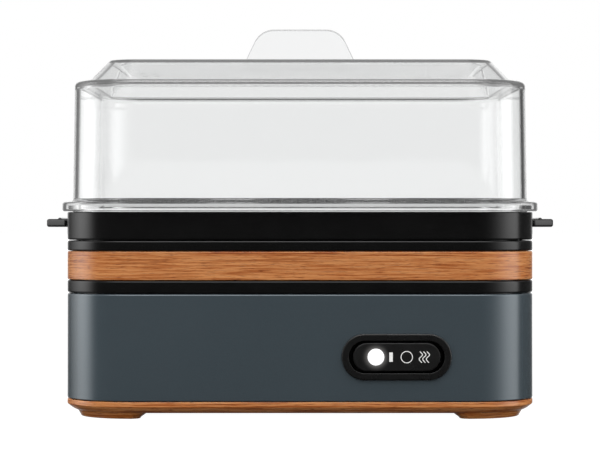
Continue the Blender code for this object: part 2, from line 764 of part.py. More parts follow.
def build_pads_and_screws():
    head_z = BASE_Z + SCREW_SINK
    for name, signs in corners_of_base().items():
        pad = bmesh.new()
        add_cylinder(pad, PAD_RADIUS, 0, PAD_THICKNESS, Matrix.Translation((*pad_place(signs), 0)))
        piece(f"foot_pad_{name}", pad, RUBBER)

        screw = bmesh.new()
        section = [
            (SCREW_HEAD_RADIUS, head_z),
            (SCREW_HEAD_RADIUS, head_z + SCREW_HEAD_HEIGHT),
            (SCREW_RADIUS, head_z + SCREW_HEAD_HEIGHT),
            (SCREW_RADIUS, POST_Z + SCREW_BITE),
        ]
        place = Matrix.Translation((*post_place(signs), 0))
        add_body(screw, [circle(radius, z, PIN_SIDES) for radius, z in section], place=place)
        piece(f"base_screw_{name}", screw, STEEL)


# ---------------------------------------------------------------- dish and heater


def build_water_dish():
    inside = DISH_WALL_INSET + DISH_SHEET
    section = [
        (DISH_WALL_INSET + DISH_BEND, DISH_Z),
        (DISH_WALL_INSET, DISH_Z + DISH_BEND),
        (DISH_WALL_INSET, DISH_RIM_Z),
        (DISH_RIM_INSET, DISH_RIM_Z),
        (DISH_RIM_INSET, DISH_RIM_Z + DISH_SHEET),
        (inside, DISH_RIM_Z + DISH_SHEET),
        (inside, DISH_Z + DISH_SHEET + DISH_BEND),
        (inside + DISH_BEND, DISH_Z + DISH_SHEET),
    ]
    sheet = bmesh.new()
    add_body(sheet, [body_loop(*corner) for corner in section])
    dish = piece("water_dish", sheet, COATED)

    studs = bmesh.new()
    for side in (-0.5, 0.5):
        place = Matrix.Translation((side * STUD_PITCH, 0, 0))
        add_cylinder(studs, STUD_RADIUS, DISH_Z - STUD_LENGTH, DISH_Z + DISH_SHEET / 2, place, PIN_SIDES)
    shape_with(dish, studs, "UNION", "studs")


def build_dish_seal():
    inside = DISH_RIM_INSET + SEAL_WIDTH
    section = [
        (DISH_RIM_INSET, SEAL_Z),
        (DISH_RIM_INSET, SEAL_Z + SEAL_THICKNESS),
        (inside, SEAL_Z + SEAL_THICKNESS),
        (inside, SEAL_Z),
    ]
    ring = bmesh.new()
    add_body(ring, [body_loop(*corner) for corner in section], ring=True)
    piece("dish_seal", ring, SILICONE)


def build_heat_spreader():
    plate = bmesh.new()
    add_body(plate, [rounded(SPREADER_SIZE, SPREADER_CORNER, z) for z in (SPREADER_Z, SPREADER_TOP)])
    piece("heat_spreader", plate, ALUMINIUM)


def element_end(side):
    """Where one end of the element points down, behind the loop's rear run."""
    return Vector((side * ELEMENT_END_PITCH / 2, ELEMENT_SIZE[1] / 2, ELEMENT_Z - ELEMENT_END_DROP))


def build_heating_element():
    loop = rounded(ELEMENT_SIZE, ELEMENT_CORNER, ELEMENT_Z)
    first = SMALL_STEPS + 1
    run = [*reversed(loop[:first]), *reversed(loop[first:])]
    bends = []
    for side in (1, -1):
        end = element_end(side)
        centre = end + Vector((side * ELEMENT_BEND, 0, ELEMENT_END_DROP - ELEMENT_BEND))
        bend = [end]
        for step in range(SMALL_STEPS + 1):
            turn = math.radians(90) * step / SMALL_STEPS
            bend.append(centre + ELEMENT_BEND * Vector((-side * math.cos(turn), 0, math.sin(turn))))
        bends.append(bend)
    tube("heating_element", bends[0] + run + bends[1][::-1], ELEMENT_RADIUS, STEEL)


def build_thermostat():
    shoulder = UNDER_SPREADER - THERMOSTAT_FLANGE
    body = shoulder - THERMOSTAT_BODY_HEIGHT
    section = [
        (THERMOSTAT_RADIUS, UNDER_SPREADER),
        (THERMOSTAT_RADIUS, shoulder),
        (THERMOSTAT_BODY_RADIUS, shoulder),
        (THERMOSTAT_BODY_RADIUS, body),
        (THERMOSTAT_NOSE_RADIUS, body),
        (THERMOSTAT_NOSE_RADIUS, body - THERMOSTAT_NOSE_HEIGHT),
    ]
    disc = bmesh.new()
    place = Matrix.Translation((0, THERMOSTAT_Y, 0))
    add_body(disc, [circle(radius, z) for radius, z in section], place=place)
    piece("thermostat", disc, CERAMIC)


def fuse_z():
    return UNDER_SPREADER - FUSE_RADIUS - CLIP_SHEET


def build_thermal_fuse():
    place = Matrix.Translation((0, FUSE_Y, fuse_z())) @ Matrix.Rotation(math.radians(90), 4, "Y")
    capsule = bmesh.new()
    add_cylinder(capsule, FUSE_RADIUS, -FUSE_LENGTH / 2, FUSE_LENGTH / 2, place, PIN_SIDES)
    piece("thermal_fuse", capsule, WHITE_LEAD)


def build_fuse_clip():
    """A strap that passes under the fuse, with a toe at each side against the plate."""
    inner = FUSE_RADIUS + REST_GAP
    outer, toe = inner + CLIP_SHEET, inner + CLIP_TOE
    low = fuse_z() - inner
    right = [
        (toe, UNDER_SPREADER),
        (inner, UNDER_SPREADER),
        (inner, low),
    ]
    right_outer = [
        (outer, low - CLIP_SHEET),
        (outer, UNDER_SPREADER - CLIP_SHEET),
        (toe, UNDER_SPREADER - CLIP_SHEET),
    ]
    outline = right + [(-y, z) for y, z in reversed(right)]
    outline += [(-y, z) for y, z in reversed(right_outer)] + right_outer
    strap = bmesh.new()
    loops = [[(x, FUSE_Y + y, z) for y, z in outline] for x in (-CLIP_WIDTH / 2, CLIP_WIDTH / 2)]
    add_body(strap, loops)
    piece("fuse_clip", strap, STEEL, smooth=False)


def build_dish_clamps():
    """Angle brackets on the dish's studs: tightening the nuts pulls the dish down against its seal."""
    leg_outside = BODY_WIDTH / 2 - COLLAR_LEDGE_INSET + CLAMP_SHEET + REST_GAP
    leg_inside = leg_outside - CLAMP_SHEET
    leg_top = COLLAR_LEDGE_Z - REST_GAP
    heel = STUD_PITCH / 2 - CLAMP_TOE
    outline = [
        (heel, CLAMP_Z),
        (leg_outside, CLAMP_Z),
        (leg_outside, leg_top),
        (leg_inside, leg_top),
        (leg_inside, CLAMP_Z + CLAMP_SHEET),
        (heel, CLAMP_Z + CLAMP_SHEET),
    ]
    for name, side in (("left", -1), ("right", 1)):
        bracket, hole, nut = bmesh.new(), bmesh.new(), bmesh.new()
        loops = [[(side * x, y, z) for x, z in outline] for y in (-CLAMP_WIDTH / 2, CLAMP_WIDTH / 2)]
        add_body(bracket, loops)
        clamp = piece(f"dish_clamp_{name}", bracket, STEEL, smooth=False)
        place = Matrix.Translation((side * STUD_PITCH / 2, 0, 0))
        clearance = STUD_RADIUS + SHANK_GAP
        add_cylinder(hole, clearance, CLAMP_Z - EDGE, CLAMP_Z + CLAMP_SHEET + EDGE, place, PIN_SIDES)
        shape_with(clamp, hole, "DIFFERENCE", "hole")

        top, bottom = CLAMP_Z - REST_GAP, CLAMP_Z - REST_GAP - NUT_HEIGHT
        section = [(NUT_RADIUS, bottom), (NUT_RADIUS, top), (clearance, top), (clearance, bottom)]
        add_body(nut, [circle(radius, z, NUT_SIDES) for radius, z in section], ring=True, place=place)
        piece(f"clamp_nut_{name}", nut, STEEL, smooth=False)


# ---------------------------------------------------------------- switch


def pivot_bore(reach):
    """A cutter on the rocker's axis, clear of its pin."""
    bore = bmesh.new()
    place = Matrix.Translation((SWITCH_X, PIVOT_Y, SWITCH_Z))
    add_cylinder(bore, PIN_RADIUS + PIVOT_GAP, -reach, reach, place, PIN_SIDES)
    return bore


def build_switch_bezel():
    flange_z, top = FRONT_FACE + REST_GAP, FRONT_FACE + BEZEL_PROUD
    ring = bmesh.new()
    loops = [
        pill(BEZEL_SIZE, flange_z),
        pill(BEZEL_SIZE, top - BEZEL_CHAMFER),
        pill(BEZEL_SIZE, top, BEZEL_CHAMFER),
        pill(OPENING_SIZE, top, -EDGE),
        pill(OPENING_SIZE, top - EDGE),
        pill(OPENING_SIZE, BEZEL_BACK),
        pill(OPENING_SIZE, BEZEL_BACK, -BEZEL_WALL),
        pill(OPENING_SIZE, flange_z, -BEZEL_WALL),
    ]
    add_body(ring, loops, ring=True, place=SWITCH_FRAME)
    bezel = piece("switch_bezel", ring, BLACK)
    shape_with(bezel, pivot_bore(OPENING_SIZE[1] / 2 + 2 * BEZEL_WALL), "DIFFERENCE", "pivot")


def build_rocker(pivot):
    key = bmesh.new()
    loops = [
        pill(ROCKER_SIZE, ROCKER_BACK),
        pill(ROCKER_SIZE, ROCKER_FACE - EDGE),
        pill(ROCKER_SIZE, ROCKER_FACE, EDGE),
    ]
    add_body(key, loops, place=SWITCH_FRAME)
    rocker = piece("rocker", key, BLACK, pivot)
    shape_with(rocker, pivot_bore(ROCKER_SIZE[1]), "DIFFERENCE", "pivot")

    lens_frame = SWITCH_FRAME @ Matrix.Translation((LENS_OFFSET, 0, 0))
    pocket = bmesh.new()
    lens_back = ROCKER_FACE - LENS_THICKNESS
    add_cylinder(pocket, LENS_RADIUS + REST_GAP, lens_back - REST_GAP, ROCKER_FACE + EDGE, lens_frame)
    shape_with(rocker, pocket, "DIFFERENCE", "lens_pocket")

    lens = bmesh.new()
    add_cylinder(lens, LENS_RADIUS, lens_back, ROCKER_FACE, lens_frame)
    piece("indicator_lens", lens, LIGHT, pivot)


def build_rocker_pin():
    pin = bmesh.new()
    reach = OPENING_SIZE[1] / 2 + BEZEL_WALL
    place = Matrix.Translation((SWITCH_X, PIVOT_Y, SWITCH_Z))
    add_cylinder(pin, PIN_RADIUS, -reach, reach, place, PIN_SIDES)
    piece("rocker_pin", pin, STEEL)


def switch_body_back():
    return BEZEL_BACK - REST_GAP - SWITCH_RIM_DEPTH - SWITCH_BODY_DEPTH


def build_switch_body():
    """A contact block with a rim that meets the bezel's sleeve, and room for the rocker to tilt."""
    rim = BEZEL_BACK - REST_GAP
    floor = ROCKER_BACK - ROCKER_SWING - REST_GAP
    root = rim - SWITCH_RIM_DEPTH
    corner = SWITCH_BODY_SIZE[1] / 4
    loops = [
        pill(OPENING_SIZE, floor),
        pill(OPENING_SIZE, rim),
        pill(OPENING_SIZE, rim, -BEZEL_WALL),
        pill(OPENING_SIZE, root, -BEZEL_WALL),
        rounded(SWITCH_BODY_SIZE, corner, root, CORNER_STEPS),
        rounded(SWITCH_BODY_SIZE, corner, switch_body_back(), CORNER_STEPS),
    ]
    block = bmesh.new()
    add_body(block, loops, place=SWITCH_FRAME)
    piece("switch_body", block, BLACK)


# ---------------------------------------------------------------- supply side and wiring


def build_cord_gland():
    outer, inner = BODY_DEPTH / 2 + REST_GAP, BODY_DEPTH / 2 - HOUSING_WALL - REST_GAP
    section = [
        (GLAND_BORE, inner - GLAND_FLANGE_THICKNESS),
        (GLAND_FLANGE, inner - GLAND_FLANGE_THICKNESS),
        (GLAND_FLANGE, inner),
        (GLAND_NECK, inner),
        (GLAND_NECK, outer),
        (GLAND_FLANGE, outer),
        (GLAND_FLANGE - EDGE, outer + GLAND_FLANGE_THICKNESS),
        (GLAND_BORE, outer + GLAND_FLANGE_THICKNESS),
    ]
    bush = bmesh.new()
    add_body(bush, [circle(radius, z) for radius, z in section], ring=True, place=GLAND_FRAME)
    piece("cord_gland", bush, RUBBER)


def well_place(number):
    return Vector((number * BLOCK_WELL_PITCH, BLOCK_Y, FLOOR_Z + REST_GAP + BLOCK_SIZE[2]))


def build_terminal_block():
    bottom = FLOOR_Z + REST_GAP
    block = bmesh.new()
    low = (-BLOCK_SIZE[0] / 2, BLOCK_Y - BLOCK_SIZE[1] / 2, bottom)
    add_box(block, low, (BLOCK_SIZE[0] / 2, BLOCK_Y + BLOCK_SIZE[1] / 2, bottom + BLOCK_SIZE[2]))
    made = piece("terminal_block", block, WHITE_LEAD, smooth=False)
    wells = bmesh.new()
    for number in (-1, 0, 1):
        place = Matrix.Translation(well_place(number))
        add_cylinder(wells, BLOCK_WELL_RADIUS, -BLOCK_WELL_DEPTH, EDGE, place, PIN_SIDES)
    shape_with(made, wells, "DIFFERENCE", "wells")


def lead(name, start, leaving, end, arriving, finish):
    """An insulated wire on one smooth curve, which leaves and arrives along the given vectors."""
    points = []
    for number in range(LEAD_POINTS):
        t = number / (LEAD_POINTS - 1)
        points.append(
            (2 * t**3 - 3 * t**2 + 1) * start
            + (t**3 - 2 * t**2 + t) * leaving
            + (3 * t**2 - 2 * t**3) * end
            + (t**3 - t**2) * arriving
        )
    tube(name, points, LEAD_RADIUS, finish)


def build_leads():
    gap = Vector((0, 0, 2 * REST_GAP))
    right, back, up = Vector((1, 0, 0)), Vector((0, 1, 0)), Vector((0, 0, 1))
    well = [well_place(number) + gap for number in (-1, 0, 1)]
    switch_back = -switch_body_back() + 2 * REST_GAP
    switch_live = Vector((SWITCH_X + TERMINAL_PITCH / 2, switch_back, SWITCH_Z))
    switch_out = Vector((SWITCH_X - TERMINAL_PITCH / 2, switch_back, SWITCH_Z))
    nose = UNDER_SPREADER - THERMOSTAT_FLANGE - THERMOSTAT_BODY_HEIGHT - THERMOSTAT_NOSE_HEIGHT
    thermostat_in, thermostat_out = (
        Vector((side * THERMOSTAT_TERMINAL_PITCH / 2, THERMOSTAT_Y, nose)) - gap for side in (1, -1)
    )
    fuse_reach = Vector((FUSE_LENGTH / 2 + 2 * REST_GAP, 0, 0))
    fuse_in, fuse_out = (Vector((0, FUSE_Y, fuse_z())) + side * fuse_reach for side in (-1, 1))
    element_in, element_out = (element_end(side) - gap for side in (1, -1))
    stud_end = Vector((STUD_PITCH / 2, 0, DISH_Z - STUD_LENGTH)) - gap
    long, short = LONG_PULL, SHORT_PULL

    lead("lead_live", well[2], long * up, switch_live, -long * back, BROWN_LEAD)
    lead("lead_switched", switch_out, long * back, thermostat_in, long * up, BROWN_LEAD)
    lead("lead_fuse_in", thermostat_out, -short * up, fuse_in, short * right, WHITE_LEAD)
    lead("lead_fuse_out", fuse_out, short * right, element_in, short * up, WHITE_LEAD)
    lead("lead_neutral", well[0], short * up, element_out, short * up, BLUE_LEAD)
    lead("lead_earth", well[1], short * up, stud_end, long * up, GREEN_LEAD)


# ---------------------------------------------------------------- assembly


def clear_scene():
    for old in list(bpy.data.objects):
        bpy.data.objects.remove(old, do_unlink=True)


def build_egg_cooker():
    clear_scene()
    tray_lift = pivot_at("tray_lift", (0, 0, TRAY_Z))
    lid_lift = pivot_at("lid_lift", (0, 0, FLANGE_Z), tray_lift)
    rocker_tilt = pivot_at("rocker_tilt", (SWITCH_X, PIVOT_Y, SWITCH_Z))

    build_lid(lid_lift)
    build_lid_handle(lid_lift)
    build_egg_tray(tray_lift)
    build_collar()
    build_band("wood_band", BAND_Z, BAND_TOP, WOOD)
    build_band("lower_ring", LOWER_RING_Z, LOWER_RING_TOP, BLACK)
    build_housing()
    build_base()
    build_pads_and_screws()
    build_water_dish()
    build_dish_seal()
    build_heat_spreader()
    build_heating_element()
    build_thermostat()
    build_thermal_fuse()
    build_fuse_clip()
    build_dish_clamps()
    build_switch_bezel()
    build_rocker(rocker_tilt)
    build_rocker_pin()
    build_switch_body()
    build_cord_gland()
    build_terminal_block()
    build_leads()


build_egg_cooker()
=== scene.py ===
"""Egg cooker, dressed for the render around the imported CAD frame.

Lengths are in metres, +Z is up and -Y is the front, as in the frame.
"""

import json
import math

import bmesh
import bpy
from mathutils import Matrix, Vector


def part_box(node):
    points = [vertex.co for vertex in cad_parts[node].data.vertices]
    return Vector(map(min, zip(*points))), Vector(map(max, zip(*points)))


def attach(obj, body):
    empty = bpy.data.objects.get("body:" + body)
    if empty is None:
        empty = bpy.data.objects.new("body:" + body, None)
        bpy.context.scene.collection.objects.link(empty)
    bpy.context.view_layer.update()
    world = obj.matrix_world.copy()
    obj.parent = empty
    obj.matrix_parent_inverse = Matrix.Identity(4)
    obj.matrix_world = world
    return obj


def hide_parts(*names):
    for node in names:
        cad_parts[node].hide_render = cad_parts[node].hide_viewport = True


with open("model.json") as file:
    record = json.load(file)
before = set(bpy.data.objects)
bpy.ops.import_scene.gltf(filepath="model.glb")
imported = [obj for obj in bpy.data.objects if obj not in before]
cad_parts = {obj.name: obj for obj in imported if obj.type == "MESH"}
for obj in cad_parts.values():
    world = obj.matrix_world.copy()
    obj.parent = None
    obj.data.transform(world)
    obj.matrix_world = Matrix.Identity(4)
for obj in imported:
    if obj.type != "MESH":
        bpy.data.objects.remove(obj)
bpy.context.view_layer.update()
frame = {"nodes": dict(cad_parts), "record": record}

MM = 0.001
RECORD = frame["record"]
BODY_OF = {node: body for body, nodes in RECORD["behaviour"]["bodies"].items() for node in nodes}


def low(node):
    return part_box(node)[0]


def high(node):
    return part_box(node)[1]


# ---------------- sizes, the same as the frame's

HALF_X, HALF_Y = high("housing").x, high("housing").y
CORNER = 31 * MM
REST_GAP = 0.3 * MM
LIFT_GAP = 0.6 * MM
SHANK_GAP = 0.3 * MM

HOUSING_WALL = 2.2 * MM
BAND_WALL = 3.1 * MM
SLEEVE_WALL = 2.1 * MM
TRAY_WALL = 2.0 * MM
LID_WALL = 2.2 * MM
DISH_SHEET = 1.0 * MM
SLEEVE_OUTSIDE = BAND_WALL + REST_GAP
SLEEVE_INSIDE = SLEEVE_OUTSIDE + SLEEVE_WALL

CORNER_STEPS = 20
SMALL_STEPS = 10
EASE_STEPS = 5
ROUND_SIDES = 64
PIN_SIDES = 24
SMOOTH_ANGLE = math.radians(34)

TO_FRONT = Matrix.Rotation(math.radians(90), 4, "X")
TO_REAR = Matrix.Rotation(math.radians(-90), 4, "X")


# ---------------- outlines and sections


def quarter_arcs(corners, z, steps):
    """A level loop, anticlockwise from above, of quarter arcs (centre x, centre y, radius)."""
    points = []
    for quarter, (x, y, radius) in enumerate(corners):
        for step in range(steps + 1):
            angle = math.radians(90) * (quarter + step / steps)
            points.append(Vector((x + radius * math.cos(angle), y + radius * math.sin(angle), z)))
    return points


def four_corners(x, y, radius):
    return [(sx * x, sy * y, radius) for sx, sy in ((1, 1), (-1, 1), (-1, -1), (1, -1))]


def body_loop(inset, z):
    """The body's own outline, drawn in by inset."""
    radius = CORNER - inset
    return quarter_arcs(four_corners(HALF_X - CORNER, HALF_Y - CORNER, radius), z, CORNER_STEPS)


def pill_loop(size, inset, z):
    """A slot shape with round ends, drawn in by inset."""
    radius = size[1] / 2 - inset
    tiny = MM / 200
    straight = size[0] / 2 - size[1] / 2
    return quarter_arcs(four_corners(straight, tiny, radius - tiny), z, SMALL_STEPS)


def circle(radius, z, sides=ROUND_SIDES):
    turns = [2 * math.pi * side / sides for side in range(sides)]
    return [Vector((radius * math.cos(turn), radius * math.sin(turn), z)) for turn in turns]


def eased(corners, closed=True, steps=EASE_STEPS):
    """A section whose corners, each (across, up, radius), are rounded into arcs."""
    points = []
    for number, (across, up, radius) in enumerate(corners):
        here = Vector((across, up))
        at_end = not closed and number in (0, len(corners) - 1)
        if not radius or at_end:
            points.append(here)
            continue
        before = (Vector(corners[number - 1][:2]) - here).normalized()
        after = (Vector(corners[(number + 1) % len(corners)][:2]) - here).normalized()
        inside = before.angle(after)
        reach = radius / math.tan(inside / 2)
        centre = here + (before + after).normalized() * radius / math.sin(inside / 2)
        first, last = here + before * reach - centre, here + after * reach - centre
        sweep = math.pi - inside
        for step in range(steps + 1):
            share = step / steps
            blend = first * math.sin((1 - share) * sweep) + last * math.sin(share * sweep)
            points.append(centre + blend / math.sin(sweep))
    return points


def rounded_edge(reach, bottom, top, ease):
    """Section of a plate's edge, rounded below and above, running in by reach."""
    corners = [(reach, bottom, 0), (0, bottom, ease), (0, top, ease), (reach, top, 0)]
    return eased(corners, closed=False)


# ---------------- solids


def add_body(mesh, loops, ring=False, place=Matrix()):
    """Skins a closed body over loops of equal length, its ends joined if a ring, else capped."""
    rows = [[mesh.verts.new(place @ Vector(point)) for point in loop] for loop in loops]
    pairs = list(zip(rows, rows[1:]))
    if ring:
        pairs.append((rows[-1], rows[0]))
    else:
        mesh.faces.new(rows[0])
        mesh.faces.new(rows[-1])
    for near, far in pairs:
        for here in range(len(near)):
            after = (here + 1) % len(near)
            mesh.faces.new((near[here], near[after], far[after], far[here]))


def turned(mesh, section, ring=False, place=Matrix(), sides=ROUND_SIDES):
    """A round body from a section of (radius, height) points."""
    add_body(mesh, [circle(radius, height, sides) for radius, height in section], ring, place)


def pin(mesh, radius, bottom, top, place):
    """A small cylinder along the frame's own upright."""
    turned(mesh, [(radius, bottom), (radius, top)], place=place, sides=PIN_SIDES)


def add_box(mesh, lowest, highest):
    plan = (
        (lowest[0], lowest[1]),
        (highest[0], lowest[1]),
        (highest[0], highest[1]),
        (lowest[0], highest[1]),
    )
    add_body(mesh, [[(x, y, z) for x, y in plan] for z in (lowest[2], highest[2])])


def new_object(name, mesh):
    bmesh.ops.recalc_face_normals(mesh, faces=mesh.faces[:])
    data = bpy.data.meshes.new(name)
    mesh.to_mesh(data)
    mesh.free()
    made = bpy.data.objects.new(name, data)
    bpy.context.scene.collection.objects.link(made)
    return made


def body_shell(name, corners, ring):
    """A piece that follows the body's outline, from (inset, height, radius) corners."""
    shell = bmesh.new()
    add_body(shell, [body_loop(*point) for point in eased(corners, closed=ring)], ring=ring)
    return new_object(name, shell)


def carve(made, mesh, operation="DIFFERENCE"):
    """Applies a scratch solid to a piece and throws the scratch solid away."""
    tool = new_object("scratch_tool", mesh)
    modifier = made.modifiers.new("carve", "BOOLEAN")
    modifier.operation = operation
    modifier.object = tool
    bpy.context.view_layer.update()
    graph = bpy.context.evaluated_depsgraph_get()
    shaped = bpy.data.meshes.new_from_object(made.evaluated_get(graph))
    made.modifiers.clear()
    made.data = shaped
    bpy.data.objects.remove(tool)


def dress(made, material, node, replaces=True):
    """Smooths a piece, gives it its material and its node's body, and hides the node's own part if it
    replaces it.
    """
    made.data.materials.clear()
    made.data.materials.append(material)
    made.data.shade_smooth()
    made.data.set_sharp_from_angle(angle=SMOOTH_ANGLE)
    weighted = made.modifiers.new("even_shading", "WEIGHTED_NORMAL")
    weighted.keep_sharp = True
    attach(made, BODY_OF[node])
    if replaces:
        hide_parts(node)
    return made


# ---------------- materials


# Noise mostly stays between these
NOISE_LOW, NOISE_HIGH = 0.3, 0.7


def srgb(*channels):
    """A colour given as sRGB out of 255, in linear light."""
    values = [channel / 255 for channel in channels]
    linear = [v / 12.92 if v <= 0.04045 else ((v + 0.055) / 1.055) ** 2.4 for v in values]
    return (*linear, 1.0)


def grey(level):
    return srgb(level, level, level)


def dimmed(colour, share):
    return [channel * share for channel in colour[:3]] + [1.0]


def feed(tree, socket, value):
    """Links a socket to an output, or sets it to a number."""
    if isinstance(value, (int, float)):
        socket.default_value = value
    else:
        tree.links.new(value, socket)


def maths(tree, how, *values):
    node = tree.nodes.new("ShaderNodeMath")
    node.operation = how
    for socket, value in zip(node.inputs, values):
        feed(tree, socket, value)
    return node.outputs["Value"]


def fill_band(band, stops):
    """Gives a colour ramp its stops, each (position, colour), in rising order."""
    for end in (-1, 0):
        band.elements[end].position, band.elements[end].color = stops[end]
    for position, colour in stops[1:-1]:
        band.elements.new(position).color = colour


class Finish:
    """A Principled material, with the few procedural layers that the surfaces here share."""

    def __init__(self, name, **sockets):
        self.material = bpy.data.materials.new(name)
        self.material.use_nodes = True
        self.tree = self.material.node_tree
        self.nodes, self.links = self.tree.nodes, self.tree.links
        self.shader = self.nodes["Principled BSDF"]
        self.where = self.nodes.new("ShaderNodeTexCoord").outputs["Object"]
        for socket, value in sockets.items():
            self.shader.inputs[socket.replace("_", " ")].default_value = value

    def noise(self, pitch, detail=4.0, rough=0.5, shift=(0, 0, 0)):
        """Noise with features of about pitch metres along each axis."""
        mapping = self.nodes.new("ShaderNodeMapping")
        mapping.inputs["Scale"].default_value = [1 / size for size in pitch]
        mapping.inputs["Location"].default_value = shift
        self.links.new(self.where, mapping.inputs["Vector"])
        texture = self.nodes.new("ShaderNodeTexNoise")
        texture.inputs["Scale"].default_value = 1.0
        texture.inputs["Detail"].default_value = detail
        texture.inputs["Roughness"].default_value = rough
        self.links.new(mapping.outputs["Vector"], texture.inputs["Vector"])
        return texture.outputs["Fac"]

    def spread(self, source, lowest, highest, start=NOISE_LOW, end=NOISE_HIGH):
        """Maps a 0 to 1 pattern onto a range of values."""
        node = self.nodes.new("ShaderNodeMapRange")
        node.inputs["From Min"].default_value = start
        node.inputs["From Max"].default_value = end
        node.inputs["To Min"].default_value = lowest
        node.inputs["To Max"].default_value = highest
        self.links.new(source, node.inputs["Value"])
        return node.outputs["Result"]

    def ramp(self, source, stops):
        """Maps a pattern onto colours, each stop being (position, colour)."""
        node = self.nodes.new("ShaderNodeValToRGB")
        fill_band(node.color_ramp, stops)
        self.links.new(source, node.inputs["Fac"])
        return node.outputs["Color"]

    def tint(self, source, dark, light):
        """Varies the base colour between two colours."""
        self.drive("Base Color", self.ramp(source, [(NOISE_LOW, dark), (NOISE_HIGH, light)]))

    def distance(self, centre):
        """How far the surface is from a point."""
        node = self.nodes.new("ShaderNodeVectorMath")
        node.operation = "DISTANCE"
        node.inputs[1].default_value = centre
        self.links.new(self.where, node.inputs[0])
        return node.outputs["Value"]

    def mix(self, factor, first, second, how="MIX"):
        node = self.nodes.new("ShaderNodeMix")
        node.data_type = "RGBA"
        node.blend_type = how
        feed(self.tree, node.inputs["Factor"], factor)
        self.links.new(first, node.inputs["A"])
        self.links.new(second, node.inputs["B"])
        return node.outputs["Result"]

    def bump(self, source, distance, strength=1.0):
        node = self.nodes.new("ShaderNodeBump")
        node.inputs["Distance"].default_value = distance
        node.inputs["Strength"].default_value = strength
        self.links.new(source, node.inputs["Height"])
        before = self.shader.inputs["Normal"].links
        if before:
            self.links.new(before[0].from_socket, node.inputs["Normal"])
        self.links.new(node.outputs["Normal"], self.shader.inputs["Normal"])

    def drive(self, socket, source):
        self.links.new(source, self.shader.inputs[socket])


def cube(size):
    return (size, size, size)


# The clear plastic's glow, and the one count of reflections that shows it
PIPED_LIGHT = 0.2
PIPED_DEPTH = 4


def clear_plastic():
    """Clear moulding, with a faint glow in place of light piped along inside the sheet."""
    finish = Finish(
        "clear_plastic",
        Base_Color=(0.965, 0.97, 0.97, 1),
        Transmission_Weight=1.0,
        Emission_Color=(1, 1, 1, 1),
        IOR=1.5,
    )
    smears = finish.noise(cube(22 * MM), 5)
    finish.drive("Roughness", finish.spread(smears, 0.0, 0.03, 0.45, 0.8))
    finish.bump(finish.noise(cube(26 * MM), 1), 0.03 * MM, 0.4)
    depth = finish.nodes.new("ShaderNodeLightPath").outputs["Glossy Depth"]
    deep = maths(finish.tree, "COMPARE", depth, PIPED_DEPTH, 0.5)
    finish.drive("Emission Strength", finish.spread(deep, 0.0, PIPED_LIGHT, 0, 1))
    return finish.material


def black_plastic():
    finish = Finish("black_plastic", Specular_IOR_Level=0.5)
    finish.tint(finish.noise(cube(9 * MM)), grey(13), grey(17))
    finish.drive("Roughness", finish.spread(finish.noise(cube(14 * MM)), 0.17, 0.22))
    finish.bump(finish.noise(cube(0.16 * MM), 2), 0.012 * MM, 0.6)
    return finish.material


def glossy_black():
    finish = Finish("glossy_black", Specular_IOR_Level=0.5)
    finish.tint(finish.noise(cube(6 * MM)), grey(20), grey(25))
    finish.drive("Roughness", finish.spread(finish.noise(cube(8 * MM)), 0.24, 0.32))
    finish.bump(finish.noise(cube(0.2 * MM), 2), 0.006 * MM, 0.5)
    return finish.material


def slate_paint():
    """Satin slate paint with a fine, slightly metallic fleck."""
    finish = Finish(
        "slate_paint",
        Metallic=0.3,
        Specular_IOR_Level=0.8,
        Coat_Weight=0.7,
        Coat_Roughness=0.2,
    )
    fleck = finish.noise(cube(0.35 * MM), 2)
    cloud = finish.noise(cube(45 * MM), 3)
    fine = finish.ramp(fleck, [(0.35, srgb(72, 84, 91)), (0.65, srgb(80, 92, 99))])
    broad = finish.ramp(cloud, [(0.3, srgb(74, 86, 93)), (0.7, srgb(78, 90, 97))])
    finish.drive("Base Color", finish.mix(finish.spread(cloud, 0.35, 0.65), fine, broad))
    finish.drive("Roughness", finish.spread(finish.noise(cube(18 * MM)), 0.2, 0.25))
    finish.bump(finish.noise(cube(0.3 * MM), 2), 0.01 * MM, 0.6)
    return finish.material


def oiled_wood():
    """Oiled wood. Its grain runs level round the upright faces; the level faces have none."""
    finish = Finish("oiled_wood", Specular_IOR_Level=0.8)
    figure = finish.noise((170 * MM, 150 * MM, 2.4 * MM), 5, 0.55)
    streak = finish.noise((22 * MM, 20 * MM, 0.6 * MM), 6, 0.65, (3, 1, 7))
    pore = finish.noise((4.5 * MM, 4.5 * MM, 0.22 * MM), 2, 0.5, (9, 4, 2))
    broad = finish.ramp(
        figure,
        [
            (0.30, srgb(146, 72, 26)),
            (0.45, srgb(182, 102, 45)),
            (0.56, srgb(213, 139, 79)),
            (0.72, srgb(160, 87, 38)),
        ],
    )
    lines = finish.ramp(
        streak,
        [
            (0.30, srgb(106, 44, 12)),
            (0.43, srgb(173, 93, 38)),
            (0.57, srgb(228, 158, 95)),
            (0.72, srgb(150, 78, 32)),
        ],
    )
    mixed = finish.mix(finish.spread(figure, 0.75, 0.5), broad, lines)
    pores = finish.ramp(pore, [(0.30, srgb(138, 98, 74)), (0.42, (1, 1, 1, 1))])
    finish.drive("Base Color", finish.mix(0.8, mixed, pores, "MULTIPLY"))
    finish.drive("Roughness", finish.spread(streak, 0.2, 0.3))
    finish.bump(streak, 0.03 * MM, 0.4)
    finish.bump(pore, 0.04 * MM, 0.35)
    return finish.material


def black_rubber():
    finish = Finish("black_rubber", Specular_IOR_Level=0.3)
    tone = finish.noise(cube(5 * MM))
    finish.tint(tone, grey(24), grey(34))
    finish.drive("Roughness", finish.spread(tone, 0.7, 0.85))
    finish.bump(finish.noise(cube(0.3 * MM), 3), 0.03 * MM, 0.7)
    return finish.material


